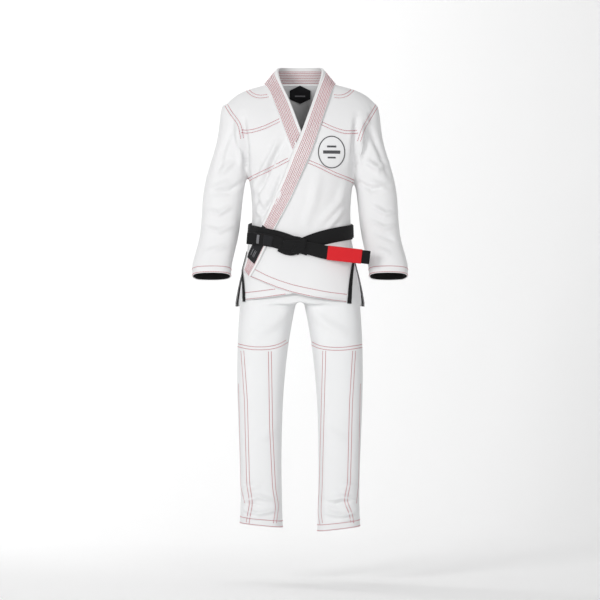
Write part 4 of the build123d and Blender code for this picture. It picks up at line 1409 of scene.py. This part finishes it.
def see_through_from_behind(material):
    """Only the front of each face shows, so that the backdrop never hides the uniform."""
    tree = material.node_tree
    shader, output = tree.nodes["Principled BSDF"], tree.nodes["Material Output"]
    facing = tree.nodes.new("ShaderNodeNewGeometry")
    clear = tree.nodes.new("ShaderNodeBsdfTransparent")
    mix = tree.nodes.new("ShaderNodeMixShader")
    link(tree, facing.outputs["Backfacing"], mix.inputs[0])
    link(tree, shader.outputs[0], mix.inputs[1])
    link(tree, clear.outputs[0], mix.inputs[2])
    link(tree, mix.outputs[0], output.inputs["Surface"])


# The uniform hangs clear of the floor, as on an unseen stand
FLOOR_DROP = 160 * MM


def stage():
    """Pale floor with a curved backdrop, soft lights and a white world."""
    floor_cloth = cloth("pale_floor", (0.95, 0.95, 0.95), (3, 3, 3), 0.0, sheen=0, shade=0.01)
    radius, far = 1.4, 3.2
    profile = [(-6.0, 0.0)] + [(far - radius + radius * math.sin(t), radius - radius * math.cos(t))
                               for t in np.linspace(0, math.pi / 2, 16)] + [(far, 8.0)]
    points = [(x, y, z - FLOOR_DROP) for y, z in profile for x in (-9, 9)]
    floor = new_object("studio_floor", points, grid_faces(len(profile), 2), floor_cloth)
    if floor.data.polygons[0].normal.z < 0:
        floor.data.flip_normals()
    see_through_from_behind(floor_cloth)
    lights = [soft_light("key", (-2.7, -4.2, 1.95), 1.4, 104), soft_light("fill", (1.3, -5.0, 1.7), 2.0, 62),
              soft_light("top", (0, 0.1, 4.2), 2.2, 12),
              soft_light("backdrop", (-1.9, 1.5, 2.9), 1.2, 42, (-0.8, 3.2, 1.6))]
    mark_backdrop(floor, *lights)
    world = bpy.data.worlds.new("studio")
    bpy.context.scene.world = world
    world.use_nodes = True
    world.node_tree.nodes["Background"].inputs["Color"].default_value = (1, 1, 1, 1)
    world.node_tree.nodes["Background"].inputs["Strength"].default_value = 0.42


def camera():
    """A long lens straight from the front, at the height of the middle of the view."""
    away, view_height, eye_z = 11.0, 1.86, 0.719
    data = bpy.data.cameras.new("camera")
    data.sensor_width = 36
    data.lens = data.sensor_width * away / view_height
    item = bpy.data.objects.new("camera", data)
    item.location = (0, -away, eye_z)
    item.rotation_euler = (math.pi / 2, 0, 0)
    bpy.context.scene.collection.objects.link(item)
    bpy.context.scene.camera = item


stage()
camera()
bpy.context.scene.view_settings.view_transform = "Standard"


# ---------------------------------------------------------------------------------------------------------
# What rides on what

for side, sign in SIDES:
    start = Vector((sign * armpit[0], 0, armpit[1]))
    across = Vector((sign * FOLD_ACROSS[0], 0, FOLD_ACROSS[1]))
    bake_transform(jacket_pieces[f"{side}_sleeve_upper"], "jacket", f"{side}_upper_arm",
             start=start + across * 3 * MM, end=start + across * FOLD_LONG)
    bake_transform(jacket_pieces[f"{side}_sleeve_lower"], f"{side}_upper_arm", f"{side}_forearm",
             start=(0, 0, elbow_z + elbow_half), end=(0, 0, elbow_z - elbow_half))
    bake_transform(trouser_pieces[f"{side}_leg_upper"], "trouser_body", f"{side}_thigh_tube",
             start=(0, 0, hip_high_z), end=(0, 0, hip_low_z))
    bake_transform(trouser_pieces[f"{side}_leg_lower"], f"{side}_thigh_tube", f"{side}_shin_tube",
             start=(0, 0, knee_high_z), end=(0, 0, knee_low_z))
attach(trouser_pieces["trouser_top"], "trouser_body")
for item, side, lower in leg_stitches:
    ends = (f"{side}_thigh_tube", f"{side}_shin_tube") if lower else ("trouser_body", f"{side}_thigh_tube")
    zone = (knee_high_z, knee_low_z) if lower else (hip_high_z, hip_low_z)
    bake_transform(item, *ends, start=(0, 0, zone[0]), end=(0, 0, zone[1]))
for item, body in rode:
    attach(item, body)
for item in list(bpy.context.scene.objects):
    if item.type == "MESH" and body_of(item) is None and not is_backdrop(item):
        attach(item, "rank_tail" if item.name.startswith("rank") else "jacket")

# Which visible piece stands for which CAD nodes; those nodes are hidden
STANDS_FOR = {
    "jacket_upper": ["back_panel", "left_front_panel", "right_front_panel", "left_shoulder_yoke",
                     "right_shoulder_yoke", "left_sleeve_cap", "right_sleeve_cap"],
    "back_skirt": ["back_hem_band"],
    "outer_front_skirt": ["left_front_hem_band"],
    "inner_front_skirt": ["right_front_hem_band"],
    "lapel_and_collar": ["left_lapel_cover", "left_lapel_core", "right_lapel_cover", "right_lapel_core",
                         "neck_collar_cover", "neck_collar_core"],
    "neck_label_cloth": ["neck_label"],
    "chest_crest_ring": ["chest_crest"],
    "lapel_patch": ["lapel_label"],
    "belt_under_turn": ["belt_under_wrap"],
    "belt_over_turn": ["belt_over_wrap"],
    "knot_wrap": ["belt_knot"],
    "rank_tail": ["belt_rank_tail"],
    "rank_bar": ["belt_rank_bar"],
    "label_tail": ["belt_label_tail"],
    "tail_label_large": ["belt_label"],
    "trouser_top": ["trouser_seat", "trouser_waistband", "crotch_gusset"],
    "cord_knot": ["trouser_drawcord"],
}
for side, _ in SIDES:
    STANDS_FOR.update({
        f"{side}_front_vent_tape_cloth": [f"{side}_front_vent_tape"],
        f"{side}_back_vent_tape_cloth": [f"{side}_back_vent_tape"],
        f"{side}_sleeve_upper": [f"{side}_shoulder_fold", f"{side}_upper_sleeve"],
        f"{side}_sleeve_lower": [f"{side}_elbow_fold", f"{side}_forearm_sleeve", f"{side}_cuff_band"],
        f"{side}_cuff_tape": [f"{side}_cuff_lining"],
        f"{side}_leg_upper": [f"{side}_hip_fold", f"{side}_thigh", f"{side}_knee_patch_upper"],
        f"{side}_leg_lower": [f"{side}_knee_fold", f"{side}_shin", f"{side}_knee_patch_lower",
                              f"{side}_trouser_hem"],
    })
for name, nodes in STANDS_FOR.items():
    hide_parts(*nodes)
